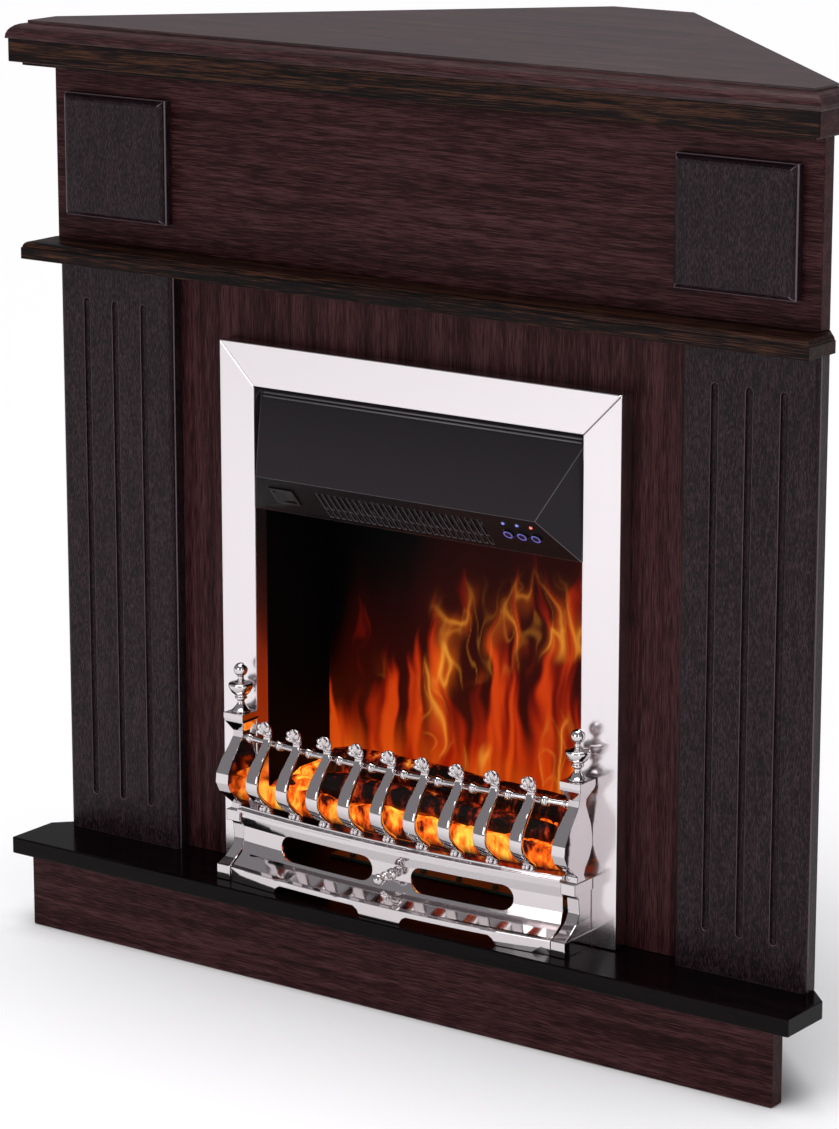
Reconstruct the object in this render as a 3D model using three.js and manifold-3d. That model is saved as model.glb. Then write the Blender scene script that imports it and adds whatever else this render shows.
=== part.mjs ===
// Corner fireplace: a dark veneered board surround around an electric flame insert.
// Millimetres, +Z up. The front faces -Y and the room corner lies behind, towards +Y.
// While it is built, y = 0 is the face of the panel that the insert's frame lies against.
import * as THREE from "three";
import { ConvexGeometry } from "three/addons/geometries/ConvexGeometry.js";
import { mergeVertices } from "three/addons/utils/BufferGeometryUtils.js";
import Module from "manifold-3d";

const wasm = await Module();
wasm.setup();

// ---------------------------------------------------------------------------
// Driving dimensions
// ---------------------------------------------------------------------------
const totalHeight = 968;
const board = 18; // carcass board
const wallReach = 460; // x + y on the two walls of the room corner
const cornerDepth = 410; // flat that truncates the back corner of the slabs
const carcassInset = 8; // carcass boards stay this far inside the wall line
const jointGap = 0.3; // between pieces that are cut, mitred or turned
const runningGap = 0.4; // between a moving piece and its guide

// Hearth and plinth
const plinthHeight = 78;
const plinthHalfWidth = 462;
const plinthFront = -79;
const hearthHalfWidth = 483;
const hearthFront = -88;

// Mantel and cornice
const mantelOverhang = 24; // past the ends of the frieze
const mantelFront = -68;
const mantelEdgeStep = 2;
const mantelEdgeRound = 15;
const corniceInset = 2;
const fasciaHeight = 24;
const corniceStepHeight = 4;
const corniceStepInset = 10;

// Shelf, frieze and blocks
const friezeHeight = 211; // from the shelf up to the mantel slab
const shelfOverhang = 14; // past the ends of the frieze
const shelfFront = -62;
const shelfEdgeRound = 6;
const boardEdgeStep = 1; // small square step beside a rounded edge
const blockCentreX = 372.5;
const blockWidth = 133;
const blockHeight = 128;
const blockThickness = 16;
const blockEdgeRound = 6.5;

// Pilasters
const pilasterWidth = 150;
const pilasterEdgeRound = 5;
const fluteWidth = 8;
const fluteDepth = 5;
const flutePitch = 38;
const fluteMarginTop = 42;
const fluteMarginBottom = 42;
const panelHalfWidth = 438;
const sidePanelDepth = 150;

// Insert: chrome frame and casing
const frameHalfWidth = 245;
const frameHeadroom = 66; // from the frame up to the shelf
const frameFace = 44;
const frameDepth = 20;
const sheet = 2;
const frameFootGap = 1;
const casingLap = 7; // behind the frame, past its inner edge
const casingDepth = 170;
const casingWall = 3;
const cutoutClearance = 6;

// Hood, with its underside controls
const hoodLipDrop = 5;
const hoodLipForward = 8;
const hoodNoseForward = 37; // past the frame's face
const hoodNoseDrop = 83; // below the frame's inner edge
const hoodHeight = 126;
const hoodNoseTaper = 30.6; // the nose ends this far inside the frame's opening
const louvreMargin = 64.4; // from the nose's end
const louvrePitch = 7.6;
const louvreWidth = 3.6;
const louvreStart = 6; // up the underside from its back edge
const louvreLength = 38;
const louvreRib = 2;
const controlRow = 30; // switch and buttons, up the underside from its back edge
const switchInset = 24.4; // from the nose's end
const switchWidth = 30;
const switchHeight = 24;
const switchDepth = 14;
const rockerTilt = THREE.MathUtils.degToRad(7);
const firstButtonInset = 41.8; // from the nose's end
const buttonPitch = 16.4;
const buttonRadius = 5.8;
const buttonStand = 2.4;
const buttonTravel = 2;
const lampRow = 46;
const lampRadius = 1.8;

// Heater and blower, on a tray above the flames
const trayThickness = 2;
const heaterMargin = 97; // inside the frame's opening, at each end
const heaterHeight = 44;
const heaterDepth = 12;
const heaterFront = 12;
const heaterFins = 13;
const blowerY = 108;
const impellerRadius = 29;
const impellerBlades = 14;
const impellerMarginLeft = 89; // inside the frame's opening
const impellerMarginRight = 109; // leaves room for the motor
const scrollClearance = 4;
const scrollWall = 2.5;
const blowerMotorRadius = 24;
const blowerMotorLength = 40;

// Flame screen, rotor and lamps
const screenY = 110;
const screenThickness = 2;
const rotorY = 138;
const rotorHeight = 120; // above the hearth
const rotorRadius = 20;
const rotorStations = 13;
const rotorMotorRadius = 20;
const rotorMotorLength = 22;
const bearingLength = 9;
const shaftRadius = 2.6;
const lampCount = 7;
const lampStripMargin = 41; // inside the frame's opening, at each end
const lampStripY = 60;
const intakePitch = 25;
const intakeWidth = 12;
const intakeHeight = 40;
const intakeDrop = 20; // below the casing's top
const glandX = 150;
const glandHeight = 26;
const glandRadius = 8;

// Ember bed and logs
const bedBottom = 58; // above the hearth
const bedTop = 84;
const bedLump = 7;
const bedFront = 3;
const bedDepth = 96;
const logRadius = 17;
const logThinning = 0.8; // the front log's share of the back one's radius
const logBackY = 66;
const logBackMargin = 36; // inside the frame's opening, at each end
const logBackLift = 9;
const logFrontY = 22;
const logFrontMargin = 56;
const logFrontLift = 5;

// Fret: everything on it is measured from the frame's face and the hearth
const fretBow = 13; // the middle stands this far forward of the ends
const fretBowInset = 9; // the bow ends this far inside the pedestals' middles
const pedestalInset = 36; // from the frame's outer edge
const pedestalWidth = 17;
const ledgeBottom = 71;
const ledgeHeight = 6;
const ledgeFront = 35;
const ledgeBack = 14;
const ledgeStep = 4;
const barCount = 9;
const barEndGap = 45; // from the last bar to the pedestal's middle
const barThickness = 5;
const barWidth = 13.5;
const railHeight = 148;
const railRadius = 4.2;
const railSet = 17.8;
const railBead = 1.5;
const capitalTop = 174;
const finialSet = 16;
const finialHeight = 51.5;
const finialBall = 7.3;

// Ash cover
const ashClearance = 1;
const ashWaist = 26; // reach of the narrow middle in front of the frame
const ashFoot = 48; // reach of the skirt's foot
const ashSheet = 2.5;
const slotStart = 24;
const slotMargin = 54.5; // from the cover's end
const slotHeight = 26;
const slotRise = 43;
const archStart = 24;
const archMargin = 60.5; // from the cover's end
const archHeight = 9;
const knobReach = 27;

// ---------------------------------------------------------------------------
// Derived places
// ---------------------------------------------------------------------------
const hearthTop = plinthHeight + board;
const mantelBottom = totalHeight - board;
const shelfTop = mantelBottom - friezeHeight;
const shelfBottom = shelfTop - board;
const overlayHalfWidth = wallReach; // frieze and pilasters end at the wall line
const mantelHalfWidth = overlayHalfWidth + mantelOverhang;
const shelfHalfWidth = overlayHalfWidth + shelfOverhang;
const fasciaFront = mantelFront + corniceInset;
const fasciaHalfWidth = mantelHalfWidth - corniceInset;
const fasciaBottom = mantelBottom - fasciaHeight;
const frameFront = -frameDepth;
const frameTop = shelfBottom - frameHeadroom;
const frameInnerHalf = frameHalfWidth - frameFace;
const frameInnerTop = frameTop - frameFace;
const casingTop = frameInnerTop + casingLap;
const casingHalfWidth = frameInnerHalf + casingLap;
const cavityHalf = casingHalfWidth - casingWall;
const fitHalf = cavityHalf - jointGap; // pieces that span the casing
const hoodTop = frameInnerTop - runningGap;
const hoodBottom = hoodTop - hoodHeight;
const hoodNoseHalfWidth = frameInnerHalf - hoodNoseTaper;
const louvreHalfWidth = hoodNoseHalfWidth - louvreMargin;
const switchX = switchInset - hoodNoseHalfWidth;
const firstButtonX = hoodNoseHalfWidth - firstButtonInset;
const trayBottom = hoodBottom - trayThickness;
const heaterHalfWidth = frameInnerHalf - heaterMargin;
const impellerLeft = impellerMarginLeft - frameInnerHalf;
const impellerRight = frameInnerHalf - impellerMarginRight;
const lampStripHalf = frameInnerHalf - lampStripMargin;
const blowerZ = hoodBottom + jointGap + impellerRadius + scrollClearance + scrollWall;
const fretFloor = hearthTop + jointGap;
const pedestalX = frameHalfWidth - pedestalInset;
const fretBowHalf = pedestalX - fretBowInset;
const barPitch = (2 * (pedestalX - barEndGap)) / (barCount - 1);
const ashHalf = pedestalX - pedestalWidth / 2 - ashClearance;
const slotEnd = ashHalf - slotMargin;
const archEnd = ashHalf - archMargin;

// ---------------------------------------------------------------------------
// Helpers
// ---------------------------------------------------------------------------
const point = (x, y) => new THREE.Vector2(x, y);

function welded(geometry) {
  const bare = geometry.clone();
  bare.deleteAttribute("normal");
  bare.deleteAttribute("uv");
  return mergeVertices(bare, 1e-4);
}

function solid(geometry) {
  const mesh = welded(geometry);
  return new wasm.Manifold(new wasm.Mesh({
    numProp: 3,
    vertProperties: new Float32Array(mesh.attributes.position.array),
    triVerts: new Uint32Array(mesh.index.array),
  }));
}

function geometryOf(manifold) {
  const mesh = manifold.getMesh();
  const geometry = new THREE.BufferGeometry();
  geometry.setAttribute("position", new THREE.BufferAttribute(new Float32Array(mesh.vertProperties), 3));
  geometry.setIndex(Array.from(mesh.triVerts));
  geometry.computeVertexNormals();
  return geometry;
}

function unite(...geometries) {
  return geometryOf(geometries.map(solid).reduce((whole, piece) => whole.add(piece)));
}

function cut(geometry, ...cutters) {
  return geometryOf(cutters.map(solid).reduce((whole, cutter) => whole.subtract(cutter), solid(geometry)));
}

function block(x0, x1, y0, y1, z0, z1) {
  const box = new THREE.BoxGeometry(x1 - x0, y1 - y0, z1 - z0);
  return box.translate((x0 + x1) / 2, (y0 + y1) / 2, (z0 + z1) / 2);
}

// A plan outline in x and y, raised from z0 to z1.
function planPrism(outline, z0, z1) {
  const shape = outline instanceof THREE.Shape ? outline : new THREE.Shape(outline);
  const prism = new THREE.ExtrudeGeometry(shape, { depth: z1 - z0, bevelEnabled: false, curveSegments: 6 });
  return prism.translate(0, 0, z0);
}

// A profile in y and z, drawn out along x.
function alongX(profile, x0, x1, steps = 1) {
  const shape = new THREE.Shape(profile);
  const bar = new THREE.ExtrudeGeometry(shape, { depth: x1 - x0, steps, bevelEnabled: false });
  bar.applyMatrix4(new THREE.Matrix4().set(0, 0, 1, x0, 1, 0, 0, 0, 0, 1, 0, 0, 0, 0, 0, 1));
  return bar;
}

// A profile in x and z, drawn out along y.
function alongY(outline, y0, y1) {
  const shape = outline instanceof THREE.Shape ? outline : new THREE.Shape(outline);
  const bar = new THREE.ExtrudeGeometry(shape, { depth: y1 - y0, bevelEnabled: false, curveSegments: 6 });
  bar.applyMatrix4(new THREE.Matrix4().set(1, 0, 0, 0, 0, 0, -1, y1, 0, 1, 0, 0, 0, 0, 0, 1));
  return bar;
}

// A cylinder along x.
function rodX(radius, x0, x1, y, z, sides = 20) {
  const rod = new THREE.CylinderGeometry(radius, radius, x1 - x0, sides);
  return rod.rotateZ(Math.PI / 2).translate((x0 + x1) / 2, y, z);
}

// A skin over convex rings of equal point counts, closed with a fan at each end.
function loft(rings) {
  const size = rings[0].length;
  const positions = [];
  const index = [];
  rings.forEach((ring) => ring.forEach((p) => positions.push(p.x, p.y, p.z)));
  for (let r = 0; r + 1 < rings.length; r += 1) {
    for (let i = 0; i < size; i += 1) {
      const a = r * size + i;
      const b = r * size + ((i + 1) % size);
      index.push(a, b, b + size, a, b + size, a + size);
    }
  }
  const last = (rings.length - 1) * size;
  for (let i = 1; i + 1 < size; i += 1) {
    index.push(0, i + 1, i, last, last + i, last + i + 1);
  }
  const skin = new THREE.BufferGeometry();
  skin.setAttribute("position", new THREE.Float32BufferAttribute(positions, 3));
  skin.setIndex(index);
  skin.computeVertexNormals();
  return skin;
}

// A flat outline with straight sides and round ends, lying along its first axis.
function stadium(start, end, centre, width) {
  const radius = width / 2;
  const shape = new THREE.Shape();
  shape.absarc(end - radius, centre, radius, -Math.PI / 2, Math.PI / 2, false);
  shape.absarc(start + radius, centre, radius, Math.PI / 2, (3 * Math.PI) / 2, false);
  return shape;
}

function mirrored(outline, side) {
  return outline.map((p) => point(p.x * side, p.y));
}

function finish(color, roughness, metalness, more = {}) {
  return new THREE.MeshStandardMaterial({ color, roughness, metalness, ...more });
}

const uprightWood = finish(0x2b1a1b, 0.45, 0);
const lengthwiseWood = finish(0x33201f, 0.45, 0);
const hearthWood = finish(0x120c0f, 0.2, 0);
const chrome = finish(0xd9d6d8, 0.08, 1);
const blackSheet = finish(0x17171a, 0.4, 0.3);
const zincSheet = finish(0x9a9da0, 0.45, 0.9);
const blackPlastic = finish(0x141416, 0.3, 0);
const buttonPlastic = finish(0x1c1a24, 0.25, 0);
const circuitBoard = finish(0x1f5a35, 0.5, 0);
const foil = finish(0xd8c9a0, 0.2, 1);
const smokedScreen = finish(0x2a1208, 0.25, 0, { transparent: true, opacity: 0.7 });
const emberResin = finish(0x7a2a0c, 0.7, 0);
const logResin = finish(0x3a2015, 0.85, 0);

const fireplace = new THREE.Group();
const insert = new THREE.Group();
const fret = new THREE.Group();
fireplace.add(insert, fret);

function place(parent, name, geometry, material) {
  const mesh = new THREE.Mesh(geometry, material);
  mesh.name = name;
  parent.add(mesh);
  return mesh;
}

const sides = [["left", -1], ["right", 1]];

// ---------------------------------------------------------------------------
// Plinth and hearth: a hexagonal slab on three upright boards
// ---------------------------------------------------------------------------
// A slab's outline: front edge, short square returns, 45 degree wall edges, flat back.
function slabRing(halfWidth, front, z) {
  const back = wallReach - cornerDepth;
  return [
    new THREE.Vector3(-halfWidth, front, z),
    new THREE.Vector3(halfWidth, front, z),
    new THREE.Vector3(halfWidth, wallReach - halfWidth, z),
    new THREE.Vector3(back, cornerDepth, z),
    new THREE.Vector3(-back, cornerDepth, z),
    new THREE.Vector3(-halfWidth, wallReach - halfWidth, z),
  ];
}

// A board that stands parallel to a wall, between two lines across the room.
function wallBoard(side, reach, y0, y1, z0, z1) {
  const thicknessAcross = board * Math.SQRT2;
  return planPrism(mirrored([
    point(reach - y0, y0),
    point(reach - y1, y1),
    point(reach - y1 - thicknessAcross, y1),
    point(reach - y0 - thicknessAcross, y0),
  ], side), z0, z1);
}

function plinthSide(side) {
  const y0 = plinthFront + board;
  const reach = plinthHalfWidth + y0;
  const middle = jointGap / 2;
  return planPrism(mirrored([
    point(reach - y0, y0),
    point(middle, reach - middle),
    point(middle, reach - middle - board * Math.SQRT2),
    point(reach - y0 - board * Math.SQRT2, y0),
  ], side), 0, plinthHeight);
}

place(fireplace, "plinth_front",
  block(-plinthHalfWidth, plinthHalfWidth, plinthFront, plinthFront + board, 0, plinthHeight), lengthwiseWood);
for (const [label, side] of sides) {
  place(fireplace, `plinth_side_${label}`, plinthSide(side), lengthwiseWood);
}
place(fireplace, "hearth_slab", loft([
  slabRing(hearthHalfWidth, hearthFront, plinthHeight),
  slabRing(hearthHalfWidth, hearthFront, hearthTop),
]), hearthWood);

// ---------------------------------------------------------------------------
// Carcass: front panel with the insert's cut-out, two wall-side panels, a rear leg
// ---------------------------------------------------------------------------
const cutoutHalf = casingHalfWidth + cutoutClearance;
const cutoutTop = casingTop + cutoutClearance;
place(fireplace, "front_panel", alongY([
  point(-panelHalfWidth, hearthTop),
  point(-cutoutHalf, hearthTop),
  point(-cutoutHalf, cutoutTop),
  point(cutoutHalf, cutoutTop),
  point(cutoutHalf, hearthTop),
  point(panelHalfWidth, hearthTop),
  point(panelHalfWidth, mantelBottom),
  point(-panelHalfWidth, mantelBottom),
], 0, board), uprightWood);

const carcassReach = wallReach - carcassInset;
for (const [label, side] of sides) {
  const panel = wallBoard(side, carcassReach, board, sidePanelDepth, hearthTop, mantelBottom);
  place(fireplace, `side_panel_${label}`, panel, uprightWood);
}
const legBack = cornerDepth - board + carcassInset / 2;
const legFront = legBack - board;
place(fireplace, "rear_leg", planPrism([
  point(legFront - carcassReach, legFront),
  point(carcassReach - legFront, legFront),
  point(carcassReach - legBack, legBack),
  point(legBack - carcassReach, legBack),
], hearthTop, mantelBottom), uprightWood);

// ---------------------------------------------------------------------------
// Shelf, pilasters, frieze and its square blocks, all planted on the front panel
// ---------------------------------------------------------------------------
// The rounded edge of a board: a small step, then a quarter round up to the face.
function roundedEdge(radius) {
  const edge = [{ inset: 0, out: 0 }];
  for (let k = 0; k <= 4; k += 1) {
    const angle = (k / 4) * (Math.PI / 2);
    edge.push({ inset: boardEdgeStep + radius * (1 - Math.cos(angle)), out: radius * Math.sin(angle) });
  }
  return edge;
}

function shelfOutline(inset) {
  const half = shelfHalfWidth - inset;
  return [
    point(-half, shelfFront + inset),
    point(half, shelfFront + inset),
    point(half, wallReach - shelfHalfWidth),
    point(overlayHalfWidth, 0),
    point(-overlayHalfWidth, 0),
    point(-half, wallReach - shelfHalfWidth),
  ];
}
const shelfRing = (inset, z) => shelfOutline(inset).map((p) => new THREE.Vector3(p.x, p.y, z));
place(fireplace, "shelf_board", loft([
  shelfRing(0, shelfBottom),
  ...roundedEdge(shelfEdgeRound).map(({ inset, out }) => shelfRing(inset, shelfTop - shelfEdgeRound + out)),
]), lengthwiseWood);

// A flute is cut with a round-nosed tool, so its floor and both its ends are round.
function flute(x) {
  const radius = fluteWidth / 2;
  const bottom = hearthTop + fluteMarginBottom;
  const top = shelfBottom - fluteMarginTop;
  const centreY = fluteDepth - radius - board;
  const floor = new THREE.CapsuleGeometry(radius, top - bottom - fluteWidth, 6, 24).rotateX(Math.PI / 2);
  floor.translate(x, centreY, (bottom + top) / 2);
  const mouth = stadium(bottom, top, 0, fluteWidth).getPoints(6).map((p) => point(x - p.y, p.x));
  return [floor, alongY(mouth, -board - 1, centreY)];
}

function pilaster(side) {
  const outer = overlayHalfWidth;
  const inner = outer - pilasterWidth;
  const edge = roundedEdge(pilasterEdgeRound).map(({ inset, out }) => (
    point(inset, pilasterEdgeRound - board - out)));
  const outline = [
    point(inner, 0),
    ...edge.map((p) => point(inner + p.x, p.y)),
    ...edge.reverse().map((p) => point(outer - p.x, p.y)),
    point(outer, 0),
  ];
  const body = planPrism(mirrored(outline, side), hearthTop, shelfBottom);
  const middle = side * (inner + outer) / 2;
  return cut(body, ...[-1, 0, 1].flatMap((k) => flute(middle + k * flutePitch)));
}
for (const [label, side] of sides) {
  place(fireplace, `pilaster_${label}`, pilaster(side), uprightWood);
}

place(fireplace, "frieze_board",
  block(-overlayHalfWidth, overlayHalfWidth, -board, 0, shelfTop, mantelBottom), lengthwiseWood);

// A square plate: straight sides, and a rounded edge up to the flat face.
function friezeBlock(side) {
  const middleX = side * blockCentreX;
  const middleZ = (shelfTop + fasciaBottom - corniceStepHeight) / 2;
  const ring = (inset, out) => {
    const a = blockWidth / 2 - inset;
    const b = blockHeight / 2 - inset;
    return [[-a, -b], [a, -b], [a, b], [-a, b]].map(([dx, dz]) => (
      new THREE.Vector3(middleX + dx, -board - out, middleZ + dz)));
  };
  return loft([
    ring(0, 0),
    ...roundedEdge(blockEdgeRound).map(({ inset, out }) => ring(inset, blockThickness - blockEdgeRound + out)),
  ]);
}
for (const [label, side] of sides) {
  place(fireplace, `frieze_block_${label}`, friezeBlock(side), uprightWood);
}

// ---------------------------------------------------------------------------
// Mantel slab with a moulded edge, and the mitred cornice under it
// ---------------------------------------------------------------------------
const edgeReach = mantelEdgeStep + mantelEdgeRound;
const mantelRing = (out, z) => (
  slabRing(mantelHalfWidth - edgeReach + out, mantelFront + edgeReach - out, z));
const edgeRings = [];
for (let k = 0; k <= 6; k += 1) {
  const angle = (k / 6) * (Math.PI / 2);
  const out = mantelEdgeStep + mantelEdgeRound * Math.cos(angle);
  edgeRings.push(mantelRing(out, mantelBottom + 1 + (mantelEdgeRound - 1) * Math.sin(angle)));
}
place(fireplace, "mantel_slab", loft([
  mantelRing(edgeReach, mantelBottom),
  ...edgeRings,
  mantelRing(0, mantelBottom + mantelEdgeRound),
  mantelRing(0, totalHeight),
]), lengthwiseWood);

// Both cornice pieces meet in a mitre that runs in from the front corner.
function corniceFront(inset, z0, z1) {
  const half = fasciaHalfWidth - inset;
  const front = fasciaFront + inset;
  const mitreY = front + half - overlayHalfWidth;
  return planPrism([
    point(-half + jointGap, front),
    point(half - jointGap, front),
    point(overlayHalfWidth - jointGap, mitreY),
    point(overlayHalfWidth - jointGap, -board),
    point(jointGap - overlayHalfWidth, -board),
    point(jointGap - overlayHalfWidth, mitreY),
  ], z0, z1);
}

function corniceReturn(side, inset, z0, z1) {
  const half = fasciaHalfWidth - inset;
  const front = fasciaFront + inset;
  return planPrism(mirrored([
    point(half, front + jointGap),
    point(half, wallReach - half),
    point(overlayHalfWidth, 0),
    point(overlayHalfWidth, front + half - overlayHalfWidth + jointGap),
  ], side), z0, z1);
}
const corniceBottom = fasciaBottom - corniceStepHeight;
place(fireplace, "cornice_front", unite(
  corniceFront(0, fasciaBottom, mantelBottom),
  corniceFront(corniceStepInset, corniceBottom, mantelBottom),
), lengthwiseWood);
for (const [label, side] of sides) {
  place(fireplace, `cornice_return_${label}`, unite(
    corniceReturn(side, 0, fasciaBottom, mantelBottom),
    corniceReturn(side, corniceStepInset, corniceBottom, mantelBottom),
  ), lengthwiseWood);
}

// ---------------------------------------------------------------------------
// Insert casing: a folded sheet box, open to the front
// ---------------------------------------------------------------------------
const rotorZ = hearthTop + rotorHeight;

function casing() {
  const back = casingDepth - casingWall;
  const shell = cut(
    block(-casingHalfWidth, casingHalfWidth, 0, casingDepth, hearthTop, casingTop),
    block(-cavityHalf, cavityHalf, -1, back, hearthTop + casingWall, casingTop - casingWall),
  );
  const bearing = rodX(3 * shaftRadius, -casingHalfWidth + 1, bearingLength - cavityHalf, rotorY, rotorZ);
  const bore = rodX(shaftRadius + runningGap, -cavityHalf, bearingLength + 1 - cavityHalf, rotorY, rotorZ);
  const intakes = [-3, -2, -1, 0, 1, 2, 3].map((k) => {
    const x = (impellerLeft + impellerRight) / 2 + k * intakePitch;
    const z1 = casingTop - intakeDrop;
    return block(x - intakeWidth / 2, x + intakeWidth / 2, back - 1, casingDepth + 1, z1 - intakeHeight, z1);
  });
  const glandHole = alongY(stadium(
    glandX - glandRadius, glandX + glandRadius, hearthTop + glandHeight, 2 * glandRadius,
  ), back - 1, casingDepth + 1);
  return cut(unite(shell, bearing), bore, glandHole, ...intakes);
}
place(insert, "casing", casing(), blackSheet);

const glandRing = new THREE.LatheGeometry([
  point(glandRadius - 3, 0),
  point(glandRadius + 4, 0),
  point(glandRadius + 4, 3),
  point(glandRadius - jointGap, 3),
  point(glandRadius - jointGap, 3 + casingWall + 2),
  point(glandRadius - 3, 3 + casingWall + 2),
  point(glandRadius - 3, 0),
], 24);
glandRing.rotateX(Math.PI).translate(glandX, casingDepth + 3 + jointGap, hearthTop + glandHeight);
place(insert, "cable_gland", glandRing, blackPlastic);

// ---------------------------------------------------------------------------
// Chrome frame: three folded channels, mitred at the top corners
// ---------------------------------------------------------------------------
// The channel's section: its face at the front, with a return along each edge.
function channel(inner, outer) {
  return [
    point(inner, 0),
    point(inner, frameFront),
    point(outer, frameFront),
    point(outer, 0),
    point(outer - sheet, 0),
    point(outer - sheet, frameFront + sheet),
    point(inner + sheet, frameFront + sheet),
    point(inner + sheet, 0),
  ];
}

function frameUpright(side) {
  const section = mirrored(channel(frameInnerHalf, frameHalfWidth), side);
  const upright = planPrism(section, hearthTop + frameFootGap, frameInnerTop);
  const position = upright.attributes.position;
  for (let i = 0; i < position.count; i += 1) {
    if (position.getZ(i) > (hearthTop + frameTop) / 2) {
      position.setZ(i, frameInnerTop + Math.abs(position.getX(i)) - frameInnerHalf);
    }
  }
  return upright;
}

function frameHead() {
  const section = channel(frameInnerTop, frameTop).map((p) => point(p.y, p.x));
  const head = alongX(section, -frameInnerHalf, frameInnerHalf);
  const position = head.attributes.position;
  for (let i = 0; i < position.count; i += 1) {
    const reach = frameInnerHalf + position.getZ(i) - frameInnerTop - jointGap;
    position.setX(i, Math.sign(position.getX(i)) * reach);
  }
  return head;
}
for (const [label, side] of sides) {
  place(insert, `frame_${label}`, frameUpright(side), chrome);
}
place(insert, "frame_top", frameHead(), chrome);

// ---------------------------------------------------------------------------
// Hood: a thin wedge over the firebox mouth, its nose in front of the frame
// ---------------------------------------------------------------------------
const hoodHalf = frameInnerHalf - runningGap;
const nose = point(frameFront - hoodNoseForward, frameInnerTop - hoodNoseDrop);
const heel = point(frameFront, hoodBottom);
const undersideAngle = Math.atan2(nose.y - heel.y, heel.x - nose.x);

function wedge(inset, back) {
  const half = hoodHalf - inset;
  const points = [];
  for (const side of [-1, 1]) {
    points.push(new THREE.Vector3(side * half, back, hoodTop - inset));
    points.push(new THREE.Vector3(side * half, back, hoodBottom + inset));
    points.push(new THREE.Vector3(side * half, -hoodLipForward + inset / 2, hoodTop - hoodLipDrop - inset));
    points.push(new THREE.Vector3(side * half, heel.x + inset / 2, heel.y + inset));
    points.push(new THREE.Vector3(side * (hoodNoseHalfWidth - inset), nose.x + 1.2 * inset, nose.y));
  }
  return new ConvexGeometry(points);
}

// Pieces on the underside are drawn flat, x across, y up from its back edge to the nose
// and z outwards, and then turned onto it.
const underside = new THREE.Matrix4().makeBasis(
  new THREE.Vector3(1, 0, 0),
  new THREE.Vector3(0, -Math.cos(undersideAngle), Math.sin(undersideAngle)),
  new THREE.Vector3(0, -Math.sin(undersideAngle), -Math.cos(undersideAngle)),
);
underside.setPosition(0, heel.x, heel.y);

function disc(radius, x, y, z0, z1, segments = 20) {
  const cylinder = new THREE.CylinderGeometry(radius, radius, z1 - z0, segments);
  return cylinder.rotateX(Math.PI / 2).translate(x, y, (z0 + z1) / 2);
}

const buttonX = [0, 1, 2].map((k) => firstButtonX + k * buttonPitch);
const cutThrough = sheet + 1;

function hoodCover() {
  const shell = cut(wedge(0, 1), wedge(sheet, 2));
  const openings = [];
  const ribAt = louvreStart + louvreLength / 3;
  const count = Math.floor(louvreHalfWidth / louvrePitch);
  for (let k = -count; k <= count; k += 1) {
    const x0 = k * louvrePitch - louvreWidth / 2;
    const x1 = x0 + louvreWidth;
    openings.push(block(x0, x1, louvreStart, ribAt - louvreRib / 2, -cutThrough, 1));
    openings.push(block(x0, x1, ribAt + louvreRib / 2, louvreStart + louvreLength, -cutThrough, 1));
  }
  for (const x of buttonX) {
    openings.push(disc(buttonRadius + runningGap, x, controlRow, -cutThrough, 1));
    openings.push(disc(lampRadius + jointGap, x, lampRow, -cutThrough, 1, 12));
  }
  const holeHalf = switchWidth / 2 - 1.5;
  const holeRise = switchHeight / 2 - 1.5;
  openings.push(block(switchX - holeHalf, switchX + holeHalf,
    controlRow - holeRise, controlRow + holeRise, -cutThrough, 1));
  return cut(shell, ...openings.map((opening) => opening.applyMatrix4(underside)));
}
place(insert, "hood_cover", hoodCover(), blackSheet);

// Power switch: its body clips into the hood, and the rocker pivots in the body.
const bodyHalf = switchWidth / 2 - 1.5 - jointGap;
const bodyRise = switchHeight / 2 - 1.5 - jointGap;
const wellHalf = bodyHalf - 1.5;
const wellRise = bodyRise - 1.5;
const pivotDepth = 5;

place(insert, "switch_body", cut(
  unite(
    block(switchX - switchWidth / 2, switchX + switchWidth / 2,
      controlRow - switchHeight / 2, controlRow + switchHeight / 2, jointGap, 1.8),
    block(switchX - bodyHalf, switchX + bodyHalf,
      controlRow - bodyRise, controlRow + bodyRise, -switchDepth, 1),
  ),
  block(switchX - wellHalf, switchX + wellHalf,
    controlRow - wellRise, controlRow + wellRise, 1.5 - switchDepth, 3),
).applyMatrix4(underside), blackPlastic);

function rocker() {
  const half = wellHalf - runningGap - 0.4;
  const cap = new THREE.Shape([
    point(-half, -pivotDepth + 1),
    point(half, -pivotDepth + 1),
    point(half, 1.6),
    point(0, 0.2),
    point(-half, 1.6),
  ]);
  const rise = wellRise - runningGap;
  const body = new THREE.ExtrudeGeometry(cap, { depth: 2 * rise, bevelEnabled: false });
  body.applyMatrix4(new THREE.Matrix4().set(1, 0, 0, 0, 0, 0, -1, rise, 0, 1, 0, 0, 0, 0, 0, 1));
  body.translate(0, 0, pivotDepth).rotateY(rockerTilt).translate(switchX, controlRow, -pivotDepth);
  return body.applyMatrix4(underside);
}
place(insert, "power_rocker", rocker(), blackPlastic);

// Three push buttons in front of the control board, whose lamps look out above them.
const flangeTop = -sheet - jointGap;
const boardTop = flangeTop - 3 - buttonTravel - runningGap;
buttonX.forEach((x, k) => {
  const button = unite(
    disc(buttonRadius, x, controlRow, flangeTop - 1, buttonStand),
    disc(buttonRadius + 1.2, x, controlRow, flangeTop - 3, flangeTop),
  );
  place(insert, `button_${k + 1}`, button.applyMatrix4(underside), buttonPlastic);
});
const boardLeft = buttonX[0] - 10;
const boardRight = buttonX[2] + 3;
place(insert, "control_board", unite(
  block(boardLeft, boardRight, controlRow - 8, lampRow + 5, boardTop - 1.6, boardTop),
  ...buttonX.map((x) => disc(lampRadius, x, lampRow, boardTop - 1, 0.5, 12)),
).applyMatrix4(underside), circuitBoard);

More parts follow.
